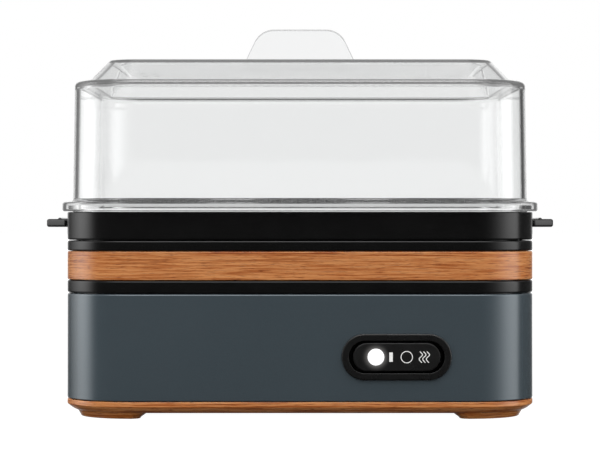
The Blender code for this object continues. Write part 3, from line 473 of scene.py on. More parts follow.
def grey_silicone():
    finish = Finish("grey_silicone", Specular_IOR_Level=0.4)
    tone = finish.noise(cube(8 * MM))
    finish.tint(tone, srgb(142, 142, 138), srgb(156, 156, 151))
    finish.drive("Roughness", finish.spread(tone, 0.5, 0.65))
    finish.bump(finish.noise(cube(0.5 * MM), 3), 0.02 * MM, 0.6)
    return finish.material


def dark_coating():
    """Non-stick coating with its pale speckle."""
    finish = Finish("dark_coating", Metallic=0.2, Specular_IOR_Level=0.5)
    speck = finish.noise(cube(0.8 * MM), 1)
    stops = [(0.55, srgb(48, 48, 50)), (0.68, srgb(60, 60, 62)), (0.72, srgb(120, 120, 122))]
    finish.drive("Base Color", finish.ramp(speck, stops))
    finish.drive("Roughness", finish.spread(finish.noise(cube(20 * MM)), 0.3, 0.42))
    finish.bump(finish.noise(cube(0.6 * MM), 2), 0.015 * MM, 0.6)
    return finish.material


def bare_metal(name, colour, along, roughness):
    """Metal with fine scratches that run along the longest pitch."""
    finish = Finish(name, Metallic=1.0)
    lines = finish.noise(along, 3)
    finish.tint(lines, dimmed(colour, 0.82), colour)
    finish.drive("Roughness", finish.spread(lines, roughness - 0.06, roughness + 0.08))
    finish.bump(lines, 0.01 * MM, 0.5)
    return finish.material


def moulded(name, colour, roughness):
    """A plain coloured moulding or sleeve, with a fine skin."""
    finish = Finish(name, Specular_IOR_Level=0.45)
    tone = finish.noise(cube(4 * MM))
    finish.tint(tone, dimmed(colour, 0.88), colour)
    finish.drive("Roughness", finish.spread(tone, roughness - 0.05, roughness + 0.05))
    finish.bump(finish.noise(cube(0.25 * MM), 2), 0.01 * MM, 0.6)
    return finish.material


def white_light(centre):
    """The lit lens: brightest at its middle."""
    finish = Finish("white_light", Roughness=0.35, Emission_Color=(1, 1, 1, 1))
    finish.drive("Emission Strength", finish.spread(finish.distance(centre), 1.0, 0.7, 0, 4 * MM))
    finish.tint(finish.noise(cube(1 * MM)), srgb(236, 238, 240), grey(250))
    return finish.material


# The lens's light on the rocker beside it: how bright, how far it reaches, how fast it falls
SPILL_LIGHT, SPILL_REACH, SPILL_FALL = 0.13, 3.2 * MM, 2.6


def rocker_black(centre, lens_radius):
    """The rocker's black, with the lens's light bleeding into it close by."""
    finish = Finish("rocker_black", Specular_IOR_Level=0.5, Emission_Color=(1, 0.97, 0.94, 1))
    finish.tint(finish.noise(cube(6 * MM)), grey(24), grey(29))
    finish.drive("Roughness", finish.spread(finish.noise(cube(8 * MM)), 0.26, 0.34))
    away = finish.distance(centre)
    near = finish.spread(away, 1.0, 0.0, lens_radius, lens_radius + SPILL_REACH)
    fall = maths(finish.tree, "POWER", near, SPILL_FALL)
    finish.drive("Emission Strength", finish.spread(fall, 0.0, SPILL_LIGHT, 0, 1))
    finish.bump(finish.noise(cube(0.2 * MM), 2), 0.006 * MM, 0.5)
    return finish.material


def white_ink_painted_glow():
    # White print with a weak painted glow: its emission makes the printed signs shine, though they
    # are no lamp.
    finish = Finish(
        "white_ink_painted_glow",
        Specular_IOR_Level=0.3,
        Emission_Color=(1, 1, 1, 1),
        Emission_Strength=0.12,
    )
    tone = finish.noise(cube(0.5 * MM))
    finish.tint(tone, srgb(222, 222, 220), srgb(240, 240, 238))
    finish.drive("Roughness", finish.spread(tone, 0.5, 0.62))
    return finish.material


# ---------------- lid

FLANGE_Z = high("egg_tray").z + REST_GAP
FLANGE_TOP = FLANGE_Z + 4.2 * MM
FLANGE_OVERHANG = high("lid").x - HALF_X
PANEL_TOP = high("lid").z
LEDGE_TOP = PANEL_TOP - 9.6 * MM
LID_WALL_INSET = 2.5 * MM
LID_DRAFT = 0.8 * MM
LEDGE_WIDTH = 6.2 * MM
SLOPE_RUN = 9.6 * MM
VENT_RADIUS = 1.3 * MM
VENT_CENTRE = (-72.5 * MM, 29 * MM)
VENT_PITCH = (6 * MM, 16 * MM)


def build_lid(material):
    wall_top = LID_WALL_INSET + LID_DRAFT
    slope_foot = wall_top + LEDGE_WIDTH
    slope_top = slope_foot + SLOPE_RUN
    inner_foot = LID_WALL_INSET + LID_WALL
    lip_z = low("lid").z
    corners = [
        (slope_top + LID_WALL, PANEL_TOP - LID_WALL, 0),
        (slope_top + LID_WALL / 2, PANEL_TOP - LID_WALL, 0.8 * MM),
        (slope_foot + LID_WALL / 2, LEDGE_TOP - LID_WALL, 1.6 * MM),
        (wall_top + LID_WALL, LEDGE_TOP - LID_WALL, 1.6 * MM),
        (inner_foot, FLANGE_TOP, 0.5 * MM),
        (inner_foot, lip_z, 0.5 * MM),
        (LID_WALL_INSET, lip_z, 0.5 * MM),
        (LID_WALL_INSET, FLANGE_Z, 0.3 * MM),
        (-FLANGE_OVERHANG, FLANGE_Z, 1.1 * MM),
        (-FLANGE_OVERHANG, FLANGE_TOP, 1.1 * MM),
        (LID_WALL_INSET, FLANGE_TOP, 1.6 * MM),
        (wall_top, LEDGE_TOP, 2.2 * MM),
        (slope_foot, LEDGE_TOP, 0.7 * MM),
        (slope_top, PANEL_TOP, 0.6 * MM),
        (slope_top + 2 * MM, PANEL_TOP, 0),
    ]
    lid = body_shell("clear_lid", corners, ring=False)
    vents = bmesh.new()
    for side in (-0.5, 0.5):
        for row in (-0.5, 0.5):
            x, y = VENT_CENTRE[0] + side * VENT_PITCH[0], VENT_CENTRE[1] + row * VENT_PITCH[1]
            place = Matrix.Translation((x, y, 0))
            pin(vents, VENT_RADIUS, PANEL_TOP - 2 * LID_WALL, PANEL_TOP + LID_WALL, place)
    carve(lid, vents)
    return dress(lid, material, "lid")


HANDLE_CORNER = 10 * MM
HANDLE_TOP_HALF = 18.6 * MM


def handle_outline(inset):
    """The fin seen from the front, drawn in by inset: sloping sides into round top corners."""
    lowest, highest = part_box("lid_handle")
    height, foot, top = highest.z - lowest.z, highest.x, HANDLE_TOP_HALF
    lean = math.atan2(foot - top, height)
    tangent = HANDLE_CORNER * math.tan((math.pi / 2 - lean) / 2)
    centre_x, centre_y = top - tangent, height - HANDLE_CORNER
    radius = HANDLE_CORNER - inset
    right = [(foot - inset / math.cos(lean) - inset * math.tan(lean), inset)]
    for step in range(CORNER_STEPS + 1):
        angle = lean + (math.pi / 2 - lean) * step / CORNER_STEPS
        right.append((centre_x + radius * math.cos(angle), centre_y + radius * math.sin(angle)))
    return right + [(-x, y) for x, y in reversed(right)]


def build_handle(material):
    lowest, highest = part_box("lid_handle")
    half = (highest.y - lowest.y) / 2
    ease = 0.7 * MM
    section = rounded_edge(2 * ease, -half, half, ease)
    loops = [[(x, y, depth) for x, y in handle_outline(inset)] for inset, depth in section]
    fin = bmesh.new()
    add_body(fin, loops, place=Matrix.Translation((0, 0, lowest.z)) @ TO_FRONT)
    return dress(new_object("clear_fin_handle", fin), material, "lid_handle")


# ---------------- egg tray

TRAY_TOP, TRAY_RIB_Z = high("egg_tray").z, low("egg_tray").z
TRAY_Z = high("collar").z + REST_GAP
DECK_TOP = TRAY_TOP - 3.2 * MM
DECK_Z = DECK_TOP - 2 * MM
SEAT_PITCH_X, SEAT_PITCH_Y = 62 * MM, 66 * MM
SEAT_TOP_RADIUS, SEAT_FOOT_RADIUS = 20.4 * MM, 16.9 * MM
SEAT_WALL, SEAT_RISE, SEAT_DEPTH = 1.6 * MM, 2 * MM, 10 * MM
TAB_REACH = high("egg_tray").x - HALF_X
TAB_WIDTH, TAB_THICKNESS, TAB_CORNER = 52 * MM, 3.7 * MM, 2.5 * MM
TAB_SHOULDER, TAB_SLANT = 2 * MM, math.radians(40)
TAB_TOP = TRAY_TOP - 3 * MM


def seat_places():
    x, y = SEAT_PITCH_X, SEAT_PITCH_Y / 2
    return [(column * x, row * y) for row in (-1, 1) for column in (-1, 0, 1)]


def tray_cups():
    """Six tapered cups with rounded rims."""
    top, foot = DECK_TOP + SEAT_RISE, DECK_TOP + SEAT_RISE - SEAT_DEPTH
    ease = 0.7 * MM
    corners = [
        (SEAT_FOOT_RADIUS, foot, ease),
        (SEAT_FOOT_RADIUS + SEAT_WALL, foot, ease),
        (SEAT_TOP_RADIUS + SEAT_WALL, top, ease),
        (SEAT_TOP_RADIUS, top, ease),
    ]
    cups = bmesh.new()
    for x, y in seat_places():
        turned(cups, eased(corners, steps=3), ring=True, place=Matrix.Translation((x, y, 0)))
    return cups


def tray_drills():
    """Room for the cups' bores through the deck, and the steam slots."""
    drills = bmesh.new()
    slope = (SEAT_TOP_RADIUS - SEAT_FOOT_RADIUS) / SEAT_DEPTH
    foot = DECK_TOP + SEAT_RISE - SEAT_DEPTH
    for x, y in seat_places():
        section = [
            (SEAT_FOOT_RADIUS + slope * (z - foot) + SEAT_WALL / 2, z)
            for z in (DECK_Z - MM, DECK_TOP + MM)
        ]
        turned(drills, section, place=Matrix.Translation((x, y, 0)))
    slot_half, slot_pitch, slot_reach = 1.5 * MM, 6 * MM, 8 * MM
    for group in (-0.5, 0.5):
        for number in (-1, 0, 1):
            middle = group * SEAT_PITCH_X + number * slot_pitch
            outline = quarter_arcs(four_corners(0, slot_reach - slot_half, slot_half), 0, 4)
            loops = [[(middle + p.x, p.y, z) for p in outline] for z in (DECK_Z - MM, DECK_TOP + MM)]
            add_body(drills, loops)
    return drills


def tab_loop(side, inset, z):
    """Plan of a tab: straight at its root in the tray's wall, then slanted in to a rounded tip."""
    shoulder = Vector((HALF_X + TAB_SHOULDER, TAB_WIDTH / 2 - TAB_CORNER, z))
    run = TAB_REACH - TAB_SHOULDER - TAB_CORNER
    tip = shoulder + run * Vector((1, -math.tan(TAB_SLANT), 0))
    slant_normal = math.radians(90) - TAB_SLANT
    upper = []
    for centre, start, end in ((tip, 0, slant_normal), (shoulder, slant_normal, math.radians(90))):
        for step in range(SMALL_STEPS + 1):
            angle = start + (end - start) * step / SMALL_STEPS
            reach = TAB_CORNER - inset
            upper.append(centre + reach * Vector((math.cos(angle), math.sin(angle), 0)))
    upper.append(Vector((HALF_X - TRAY_WALL / 2, TAB_WIDTH / 2 - inset, z)))
    loop = upper + [Vector((point.x, -point.y, z)) for point in reversed(upper)]
    return [Vector((side * point.x, point.y, z)) for point in loop]


def tray_tabs():
    """Both tabs, with rounded edges."""
    ease = 1.0 * MM
    section = rounded_edge(2 * ease, TAB_TOP - TAB_THICKNESS, TAB_TOP, ease)
    tabs = bmesh.new()
    for side in (-1, 1):
        add_body(tabs, [tab_loop(side, inset, z) for inset, z in section])
    return tabs


def tray_ridges():
    """Two arched grip ridges across each tab, sunk a little into it."""
    half, rise, reach, sunk = 0.8 * MM, 0.6 * MM, 17 * MM, 0.5 * MM
    steps = 6
    ridges = bmesh.new()
    for side in (-1, 1):
        for out in (2.0 * MM, 6.4 * MM):
            middle = side * (HALF_X + out)
            arch = [(middle - half, TAB_TOP - sunk), (middle + half, TAB_TOP - sunk)]
            for step in range(steps + 1):
                turn = math.pi * step / steps
                arch.append((middle + half * math.cos(turn), TAB_TOP + rise * math.sin(turn)))
            add_body(ridges, [[(x, y, z) for x, z in arch] for y in (-reach, reach)])
    return ridges


def build_tray(material):
    rib_outside = SLEEVE_INSIDE + LIFT_GAP
    rib_inside = rib_outside + 1.6 * MM
    ease = 0.6 * MM
    corners = [
        (rib_inside + 2 * MM, DECK_Z, 0),
        (rib_inside, DECK_Z, ease),
        (rib_inside, TRAY_RIB_Z, ease),
        (rib_outside, TRAY_RIB_Z, ease),
        (rib_outside, DECK_Z, ease),
        (TRAY_WALL, DECK_Z, ease),
        (TRAY_WALL, TRAY_Z, 0.3 * MM),
        (0, TRAY_Z, 0.9 * MM),
        (0, TRAY_TOP, ease),
        (TRAY_WALL, TRAY_TOP, ease),
        (TRAY_WALL, DECK_TOP, ease),
        (TRAY_WALL + 2 * MM, DECK_TOP, 0),
    ]
    tray = body_shell("tray_with_seats", corners, ring=False)
    carve(tray, tray_drills())
    carve(tray, tray_cups(), "UNION")
    carve(tray, tray_tabs(), "UNION")
    carve(tray, tray_ridges(), "UNION")
    return dress(tray, material, "egg_tray")


# ---------------- stack of the base


def build_band(name, node, material, ease):
    bottom, top = low(node).z, high(node).z
    inner = 0.2 * MM
    corners = [(BAND_WALL, bottom, inner), (0, bottom, ease), (0, top, ease), (BAND_WALL, top, inner)]
    return dress(body_shell(name, corners, ring=True), material, node)


POST_INSET, POST_Y, POST_RADIUS = 8.3 * MM, 22 * MM, 3.2 * MM
POST_PLACES = [(sx * (HALF_X - POST_INSET), sy * POST_Y) for sx in (-1, 1) for sy in (-1, 1)]
SCREW_RADIUS, SCREW_HOLE_DEPTH = 1.3 * MM, 14.3 * MM
LEDGE_REACH = 6.2 * MM


def build_collar(material):
    top, ring_z = high("collar").z, high("wood_band").z + REST_GAP
    ledge_top, ledge_z = top - 8.7 * MM, top - 10.7 * MM
    ledge_inset = SLEEVE_INSIDE + LEDGE_REACH
    sleeve_z = ring_z - 22.9 * MM
    ease = 0.4 * MM
    corners = [
        (0, ring_z, 0.7 * MM),
        (0, top, 0.8 * MM),
        (SLEEVE_INSIDE, top, ease),
        (SLEEVE_INSIDE, ledge_top, ease),
        (ledge_inset, ledge_top, ease),
        (ledge_inset, ledge_z, ease),
        (SLEEVE_INSIDE, ledge_z, ease),
        (SLEEVE_INSIDE, sleeve_z, ease),
        (SLEEVE_OUTSIDE, sleeve_z, ease),
        (SLEEVE_OUTSIDE, ring_z, 0.2 * MM),
    ]
    collar = body_shell("collar_ring", corners, ring=True)
    posts, bores = bmesh.new(), bmesh.new()
    post_z = low("collar").z
    for x, y in POST_PLACES:
        place = Matrix.Translation((x, y, 0))
        pin(posts, POST_RADIUS, post_z, ledge_z + MM, place)
        pin(bores, SCREW_RADIUS + SHANK_GAP, post_z - MM, post_z + SCREW_HOLE_DEPTH, place)
    carve(collar, posts, "UNION")
    carve(collar, bores)
    return dress(collar, material, "collar")


BEZEL_LOW, BEZEL_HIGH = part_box("switch_bezel")
SWITCH_X, SWITCH_Z = (BEZEL_LOW.x + BEZEL_HIGH.x) / 2, (BEZEL_LOW.z + BEZEL_HIGH.z) / 2
SWITCH_FRAME = Matrix.Translation((SWITCH_X, 0, SWITCH_Z)) @ TO_FRONT
OPENING = (42.2 * MM, 14.3 * MM)
BEZEL_WALL = 1.4 * MM
GLAND_NECK = 5 * MM
GLAND_Z = (low("cord_gland").z + high("cord_gland").z) / 2
GLAND_FRAME = Matrix.Translation((0, 0, GLAND_Z)) @ TO_REAR


def build_housing(material):
    bottom, top = low("housing").z, high("housing").z
    corners = [
        (0, bottom, 0.5 * MM),
        (0, top, 0.8 * MM),
        (BAND_WALL, top, 0.2 * MM),
        (BAND_WALL, top - HOUSING_WALL, 0.2 * MM),
        (HOUSING_WALL, top - HOUSING_WALL, 0.2 * MM),
        (HOUSING_WALL, bottom, 0.2 * MM),
    ]
    housing = body_shell("housing_shell", corners, ring=True)
    holes = bmesh.new()
    depths = (HALF_Y - 2 * HOUSING_WALL, HALF_Y + MM)
    window = [pill_loop(OPENING, -BEZEL_WALL - REST_GAP, depth) for depth in depths]
    add_body(holes, window, place=SWITCH_FRAME)
    neck = GLAND_NECK + REST_GAP
    turned(holes, [(neck, depth) for depth in depths], place=GLAND_FRAME)
    carve(housing, holes)
    return dress(housing, material, "housing")


BASE_Z = 3.0 * MM
BASE_TOP = low("housing").z - REST_GAP
BASE_RIM_Z = BASE_TOP - 2.2 * MM
BASE_UNDERCUT, UNDERCUT_BULGE = 4.7 * MM, 0.5
FOOT_INSET, FOOT_LENGTH, FOOT_INNER_CORNER = 4.8 * MM, 32.6 * MM, 4.5 * MM
FOOT_DRAFT, FOOT_TAPER, FOOT_EASE = 1.3 * MM, 3.0 * MM, 0.5 * MM
PAD_PROUD, PAD_RADIUS, PAD_POCKET_TOP = 0.3 * MM, 7 * MM, 2.3 * MM
PAD_PLACE = Vector((*high("foot_pad_rear_right").xy, 0)) - Vector((PAD_RADIUS, PAD_RADIUS, 0))


def foot_loop(inset, taper, z):
    """Plan of the foot at +X +Y: its outer corner follows the body's, its other corners are small."""
    outer_x, outer_y = HALF_X - inset, HALF_Y - inset
    inner_x = HALF_X - FOOT_INSET - FOOT_LENGTH + taper
    inner_y = HALF_Y - FOOT_INSET - FOOT_LENGTH + taper
    big, small = CORNER - inset, FOOT_INNER_CORNER
    arcs = [
        (outer_x - big, outer_y - big, big),
        (inner_x + small, outer_y - small, small),
        (inner_x + small, inner_y + small, small),
        (outer_x - small, inner_y + small, small),
    ]
    return quarter_arcs(arcs, z, SMALL_STEPS)


def pocket_loop(z):
    """Rim of a pad's pocket, with as many points as a foot's own loops."""
    rim = circle(PAD_RADIUS + REST_GAP, z, 4 * (SMALL_STEPS + 1))
    return [PAD_PLACE + point for point in rim]


def base_feet():
    """Four tapered feet with an eased lower edge, each hollowed for its pad."""
    loops = [foot_loop(FOOT_INSET, 0, z) for z in (BASE_Z + 1.5 * MM, BASE_Z)]
    steps = 6
    for step in range(steps + 1):
        turn = math.radians(90) * step / steps
        drawn_in = FOOT_EASE * (1 - math.cos(turn))
        z = PAD_PROUD + FOOT_EASE * (1 - math.sin(turn))
        loops.append(foot_loop(FOOT_INSET + FOOT_DRAFT + drawn_in, FOOT_TAPER + drawn_in, z))
    loops += [pocket_loop(PAD_PROUD), pocket_loop(PAD_POCKET_TOP)]
    feet = bmesh.new()
    for sx in (-1, 1):
        for sy in (-1, 1):
            add_body(feet, [[(sx * p.x, sy * p.y, p.z) for p in loop] for loop in loops])
    return feet


def build_base(material):
    floor_z = BASE_Z + 3 * MM
    lip_outside, lip_top = HOUSING_WALL + REST_GAP, BASE_TOP + 3.4 * MM
    lip_inside = lip_outside + 2 * MM
    corners = [(BASE_UNDERCUT + 2 * MM, BASE_Z, 0)]
    steps = 10
    for step in range(steps, 0, -1):
        share = step / steps
        drop = share + UNDERCUT_BULGE * share * (1 - share)
        corners.append((BASE_UNDERCUT * share, BASE_RIM_Z - (BASE_RIM_Z - BASE_Z) * drop, 0))
    corners += [
        (0, BASE_RIM_Z, 0.5 * MM),
        (0, BASE_TOP, 0.4 * MM),
        (lip_outside, BASE_TOP, 0.2 * MM),
        (lip_outside, lip_top, 0.3 * MM),
        (lip_inside, lip_top, 0.3 * MM),
        (lip_inside, floor_z, 0.3 * MM),
        (lip_inside + 2 * MM, floor_z, 0),
    ]
    base = body_shell("foot_plate", corners, ring=False)
    carve(base, base_feet(), "UNION")
    bosses, drills = bmesh.new(), bmesh.new()
    boss_top = low("collar").z - REST_GAP
    for x, y in POST_PLACES:
        place = Matrix.Translation((x, y, 0))
        pin(bosses, POST_RADIUS, floor_z - MM, boss_top, place)
        shank, head = SCREW_RADIUS + SHANK_GAP, 2.9 * MM
        step = BASE_Z + 2.3 * MM
        bore = [(head, BASE_Z - MM), (head, step), (shank, step), (shank, boss_top + MM)]
        turned(drills, bore, place=place, sides=PIN_SIDES)
    carve(base, bosses, "UNION")
    carve(base, drills)
    return dress(base, material, "base")


def over(node):
    """A frame on the ground under the middle of a node."""
    lowest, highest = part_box(node)
    return Matrix.Translation(((lowest.x + highest.x) / 2, (lowest.y + highest.y) / 2, 0))


def build_pads_and_screws(rubber, steel):
    for name in ("front_left", "front_right", "rear_left", "rear_right"):
        node = f"foot_pad_{name}"
        bottom, top = low(node).z, high(node).z
        corners = [
            (MM, bottom, 0),
            (PAD_RADIUS, bottom, 0.4 * MM),
            (PAD_RADIUS, top, 0.2 * MM),
            (MM, top, 0),
        ]
        pad = bmesh.new()
        turned(pad, eased(corners, closed=False), place=over(node))
        dress(new_object(f"pad_{name}", pad), rubber, node)

        node = f"base_screw_{name}"
        lowest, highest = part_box(node)
        place = over(node)
        head, head_top = (highest.x - lowest.x) / 2, lowest.z + 1.7 * MM
        corners = [
            (MM / 2, lowest.z, 0),
            (head, lowest.z, 0.5 * MM),
            (head, head_top, 0.1 * MM),
            (SCREW_RADIUS, head_top, 0.1 * MM),
            (SCREW_RADIUS, highest.z, 0.4 * MM),
            (MM / 2, highest.z, 0),
        ]
        screw = bmesh.new()
        turned(screw, eased(corners, closed=False, steps=3), place=place, sides=PIN_SIDES)
        made = new_object(f"screw_{name}", screw)
        centre = Vector((place.translation.x, place.translation.y, lowest.z))
        long, wide, deep = 1.5 * MM, 0.3 * MM, 0.9 * MM
        for reach in (Vector((long, wide, deep)), Vector((wide, long, deep))):
            arm = bmesh.new()
            add_box(arm, centre - reach, centre + reach)
            carve(made, arm)
        dress(made, steel, node)


# ---------------- dish and seal


STUD_X, STUD_RADIUS = 86 * MM, 1.5 * MM


def build_dish(material):
    lowest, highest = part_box("water_dish")
    rim_inset, wall_inset = SLEEVE_INSIDE + LIFT_GAP, SLEEVE_INSIDE + LEDGE_REACH + LIFT_GAP
    flat = wall_inset + 6 * MM
    rim_top = highest.z
    rim_z = rim_top - DISH_SHEET
    floor_z = rim_z - 11.3 * MM
    corners = [
        (flat, floor_z, 0),
        (wall_inset, floor_z, 3 * MM),
        (wall_inset, rim_z, 0.5 * MM),
        (rim_inset, rim_z, 0.3 * MM),
        (rim_inset, rim_top, 0.3 * MM),
        (wall_inset + DISH_SHEET, rim_top, 1.4 * MM),
        (wall_inset + DISH_SHEET, floor_z + DISH_SHEET, 2.2 * MM),
        (flat, floor_z + DISH_SHEET, 0),
    ]
    dish = body_shell("coated_dish", corners, ring=False)
    studs = bmesh.new()
    for side in (-1, 1):
        place = Matrix.Translation((side * STUD_X, 0, 0))
        pin(studs, STUD_RADIUS, lowest.z, floor_z + DISH_SHEET / 2, place)
    carve(dish, studs, "UNION")
    return dress(dish, material, "water_dish")


def build_seal(material):
    bottom, top = low("dish_seal").z, high("dish_seal").z
    inset = HALF_X - high("dish_seal").x
    inner, ease = inset + 5.1 * MM, 0.2 * MM
    corners = [(inset, bottom, ease), (inset, top, ease), (inner, top, ease), (inner, bottom, ease)]
    return dress(body_shell("seal_ring", corners, ring=True), material, "dish_seal")


# ---------------- switch and gland


def build_bezel(material):
    size = (BEZEL_HIGH.x - BEZEL_LOW.x, BEZEL_HIGH.z - BEZEL_LOW.z)
    front, back = -BEZEL_LOW.y, -BEZEL_HIGH.y
    flange = HALF_Y + REST_GAP
    hole = (size[1] - OPENING[1]) / 2
    corners = [
        (0, flange, 0.1 * MM),
        (0, front, 0.7 * MM),
        (hole, front, 0.25 * MM),
        (hole, back, 0.2 * MM),
        (hole - BEZEL_WALL, back, 0.2 * MM),
        (hole - BEZEL_WALL, flange, 0.2 * MM),
    ]
    ring = bmesh.new()
    loops = []
    for inset, depth in eased(corners):
        share = inset / hole
        width = size[0] + (OPENING[0] - size[0]) * share
        height = size[1] + (OPENING[1] - size[1]) * share
        loops.append(pill_loop((width, height), 0, depth))
    add_body(ring, loops, ring=True, place=SWITCH_FRAME)
    return dress(new_object("bezel_ring", ring), material, "switch_bezel")


ROCKER_LOW, ROCKER_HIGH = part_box("rocker")
ROCKER_FACE, ROCKER_BACK = -ROCKER_LOW.y, -ROCKER_HIGH.y
ROCKER_SIZE = (ROCKER_HIGH.x - ROCKER_LOW.x, ROCKER_HIGH.z - ROCKER_LOW.z)
LENS_LOW, LENS_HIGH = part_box("indicator_lens")
LENS_RADIUS = (LENS_HIGH.x - LENS_LOW.x) / 2
LENS_CENTRE = Vector(((LENS_LOW.x + LENS_HIGH.x) / 2, LENS_LOW.y, SWITCH_Z))
LENS_FRAME = Matrix.Translation((LENS_CENTRE.x, 0, SWITCH_Z)) @ TO_FRONT
LENS_GAP, LENS_POCKET = 0.15 * MM, 1.5 * MM
PIVOT_BORE = 0.92 * MM


def build_rocker(material):
    ease = 0.5 * MM
    section = rounded_edge(3 * MM, ROCKER_BACK, ROCKER_FACE, ease)
    loops = [pill_loop(ROCKER_SIZE, inset, depth) for inset, depth in section]
    key = bmesh.new()
    add_body(key, loops, place=SWITCH_FRAME)
    rocker = new_object("rocker_key", key)
    pocket = bmesh.new()
    depths = (ROCKER_FACE - LENS_POCKET, ROCKER_FACE + MM)
    turned(pocket, [(LENS_RADIUS + LENS_GAP, depth) for depth in depths], place=LENS_FRAME)
    carve(rocker, pocket)
    pivot = bmesh.new()
    axis = RECORD["behaviour"]["joints"][2]["pos_m"]
    pin(pivot, PIVOT_BORE, -ROCKER_SIZE[1], ROCKER_SIZE[1], Matrix.Translation(axis))
    carve(rocker, pivot)
    return dress(rocker, material, "rocker")


def build_lens(material):
    back = ROCKER_FACE - 1.25 * MM
    corners = [
        (MM / 2, back, 0),
        (LENS_RADIUS, back, 0.1 * MM),
        (LENS_RADIUS, ROCKER_FACE - 0.1 * MM, 0.25 * MM),
        (MM, ROCKER_FACE, 0),
    ]
    disc = bmesh.new()
    turned(disc, eased(corners, closed=False), place=LENS_FRAME)
    return dress(new_object("light_disc", disc), material, "indicator_lens")


INK_THICKNESS = 0.04 * MM


def ink_stroke(name, path, width, material, closed=False):
    """A printed line of even width along a path of (x, y) points on the rocker's face."""
    points = [Vector(point) for point in path]
    rails = []
    for number, here in enumerate(points):
        before = points[number - 1] if closed or number else here
        after = points[(number + 1) % len(points)] if closed or number < len(points) - 1 else here
        ahead = (after - before).normalized()
        side = Vector((-ahead.y, ahead.x)) * width / 2
        rails.append((here + side, here - side))
    front, back = ROCKER_FACE + INK_THICKNESS, ROCKER_FACE
    loops = [
        [(*left, back), (*left, front), (*right, front), (*right, back)] for left, right in rails
    ]
    ink = bmesh.new()
    add_body(ink, loops, ring=closed, place=SWITCH_FRAME)
    return dress(new_object(name, ink), material, "rocker", replaces=False)


def smooth_path(knots, steps=8):
    """A curve through the knots, which rounds each bend."""
    ends = [knots[0], *knots, knots[-1]]
    points = []
    for a, b, c, d in zip(ends, ends[1:], ends[2:], ends[3:]):
        a, b, c, d = (Vector(knot) for knot in (a, b, c, d))
        for step in range(steps):
            t = step / steps
            pull = (2 * a - 5 * b + 4 * c - d) * t * t + (3 * b - a - 3 * c + d) * t**3
            points.append(0.5 * (2 * b + (c - a) * t + pull))
    return [*points, Vector(knots[-1])]


def build_signs(material):
    """On, off and keep warm, printed on the rocker."""
    bar_x, ring_x, waves_x = -2.5 * MM, 4.4 * MM, 12.1 * MM
    bar_half, bar_width = 2.05 * MM, 1.55 * MM
    ink_stroke("sign_on", [(bar_x, -bar_half), (bar_x, bar_half)], bar_width, material)
    stroke, radius = 0.34 * MM, 2.5 * MM
    ring = [(ring_x + point.x, point.y) for point in circle(radius, 0)]
    ink_stroke("sign_off", ring, stroke, material, closed=True)
    wave = [(-0.40, 2.45), (0.72, 0.95), (-0.72, -0.75), (0.42, -2.45)]
    wave_pitch, wave_stroke = 1.55 * MM, 0.37 * MM
    for number in (-1, 0, 1):
        shift = waves_x + number * wave_pitch
        path = smooth_path([(shift + x * MM, y * MM) for x, y in wave])
        ink_stroke(f"sign_warm_{number + 2}", path, wave_stroke, material)


def build_gland(material):
    outer, inner = HALF_Y + REST_GAP, HALF_Y - HOUSING_WALL - REST_GAP
    bore, neck, flange, thick = 3.8 * MM, GLAND_NECK, 7 * MM, 1.8 * MM
    corners = [
        (bore, inner - thick, 0.5 * MM),
        (flange, inner - thick, 0.5 * MM),
        (flange, inner, 0.3 * MM),
        (neck, inner, 0.1 * MM),
        (neck, outer, 0.1 * MM),
        (flange, outer, 0.3 * MM),
        (flange, outer + thick, 0.9 * MM),
        (bore, outer + thick, 0.7 * MM),
    ]
    bush = bmesh.new()
    turned(bush, eased(corners), ring=True, place=GLAND_FRAME)
    return dress(new_object("gland_bush", bush), material, "cord_gland")


# ---------------- pieces kept from the frame


def finish_inner_pieces(steel, black):
    """Procedural finishes for the pieces whose CAD shape is already right."""
    aluminium = bare_metal("cast_aluminium", srgb(190, 192, 195), cube(0.6 * MM), 0.42)
    sheath = bare_metal("drawn_sheath", srgb(150, 150, 150), (9 * MM, 9 * MM, 0.3 * MM), 0.34)
    ceramic = moulded("unglazed_ceramic", srgb(226, 222, 210), 0.6)
    white = moulded("white_sleeve", srgb(224, 224, 220), 0.45)
    brown = moulded("brown_sleeve", srgb(105, 62, 36), 0.45)
    blue = moulded("blue_sleeve", srgb(40, 84, 160), 0.45)
    green = moulded("green_sleeve", srgb(96, 150, 52), 0.45)
    finishes = {
        "heat_spreader": aluminium,
        "heating_element": sheath,
        "thermostat": ceramic,
        "thermal_fuse": ceramic,
        "fuse_clip": steel,
        "dish_clamp_left": steel,
        "dish_clamp_right": steel,
        "clamp_nut_left": steel,
        "clamp_nut_right": steel,
        "rocker_pin": black,
        "switch_body": black,
        "terminal_block": white,
        "lead_live": brown,
        "lead_switched": brown,
        "lead_fuse_in": white,
        "lead_fuse_out": white,
        "lead_neutral": blue,
        "lead_earth": green,
    }
    for node, material in finishes.items():
        data = frame["nodes"][node].data
        data.materials.clear()
        data.materials.append(material)


# ---------------- studio

# The floor's own light, as seen straight and as seen through a clear piece
FLOOR_GLOW, FLOOR_GLOW_THROUGH = 1.0, 0.35
STUDIO_LIGHT, SKY_LIGHT = 2.4, 2.0
SOFTBOX_PLACE, SOFTBOX_AIM = Vector((0, -0.1, 1.5)), Vector((0, 0, 0.09))
SOFTBOX_SIZE, SOFTBOX_POWER = (1.5, 1.1), 3
CAMERA_DISTANCE, CAMERA_HEIGHT = 1.009, 0.0846

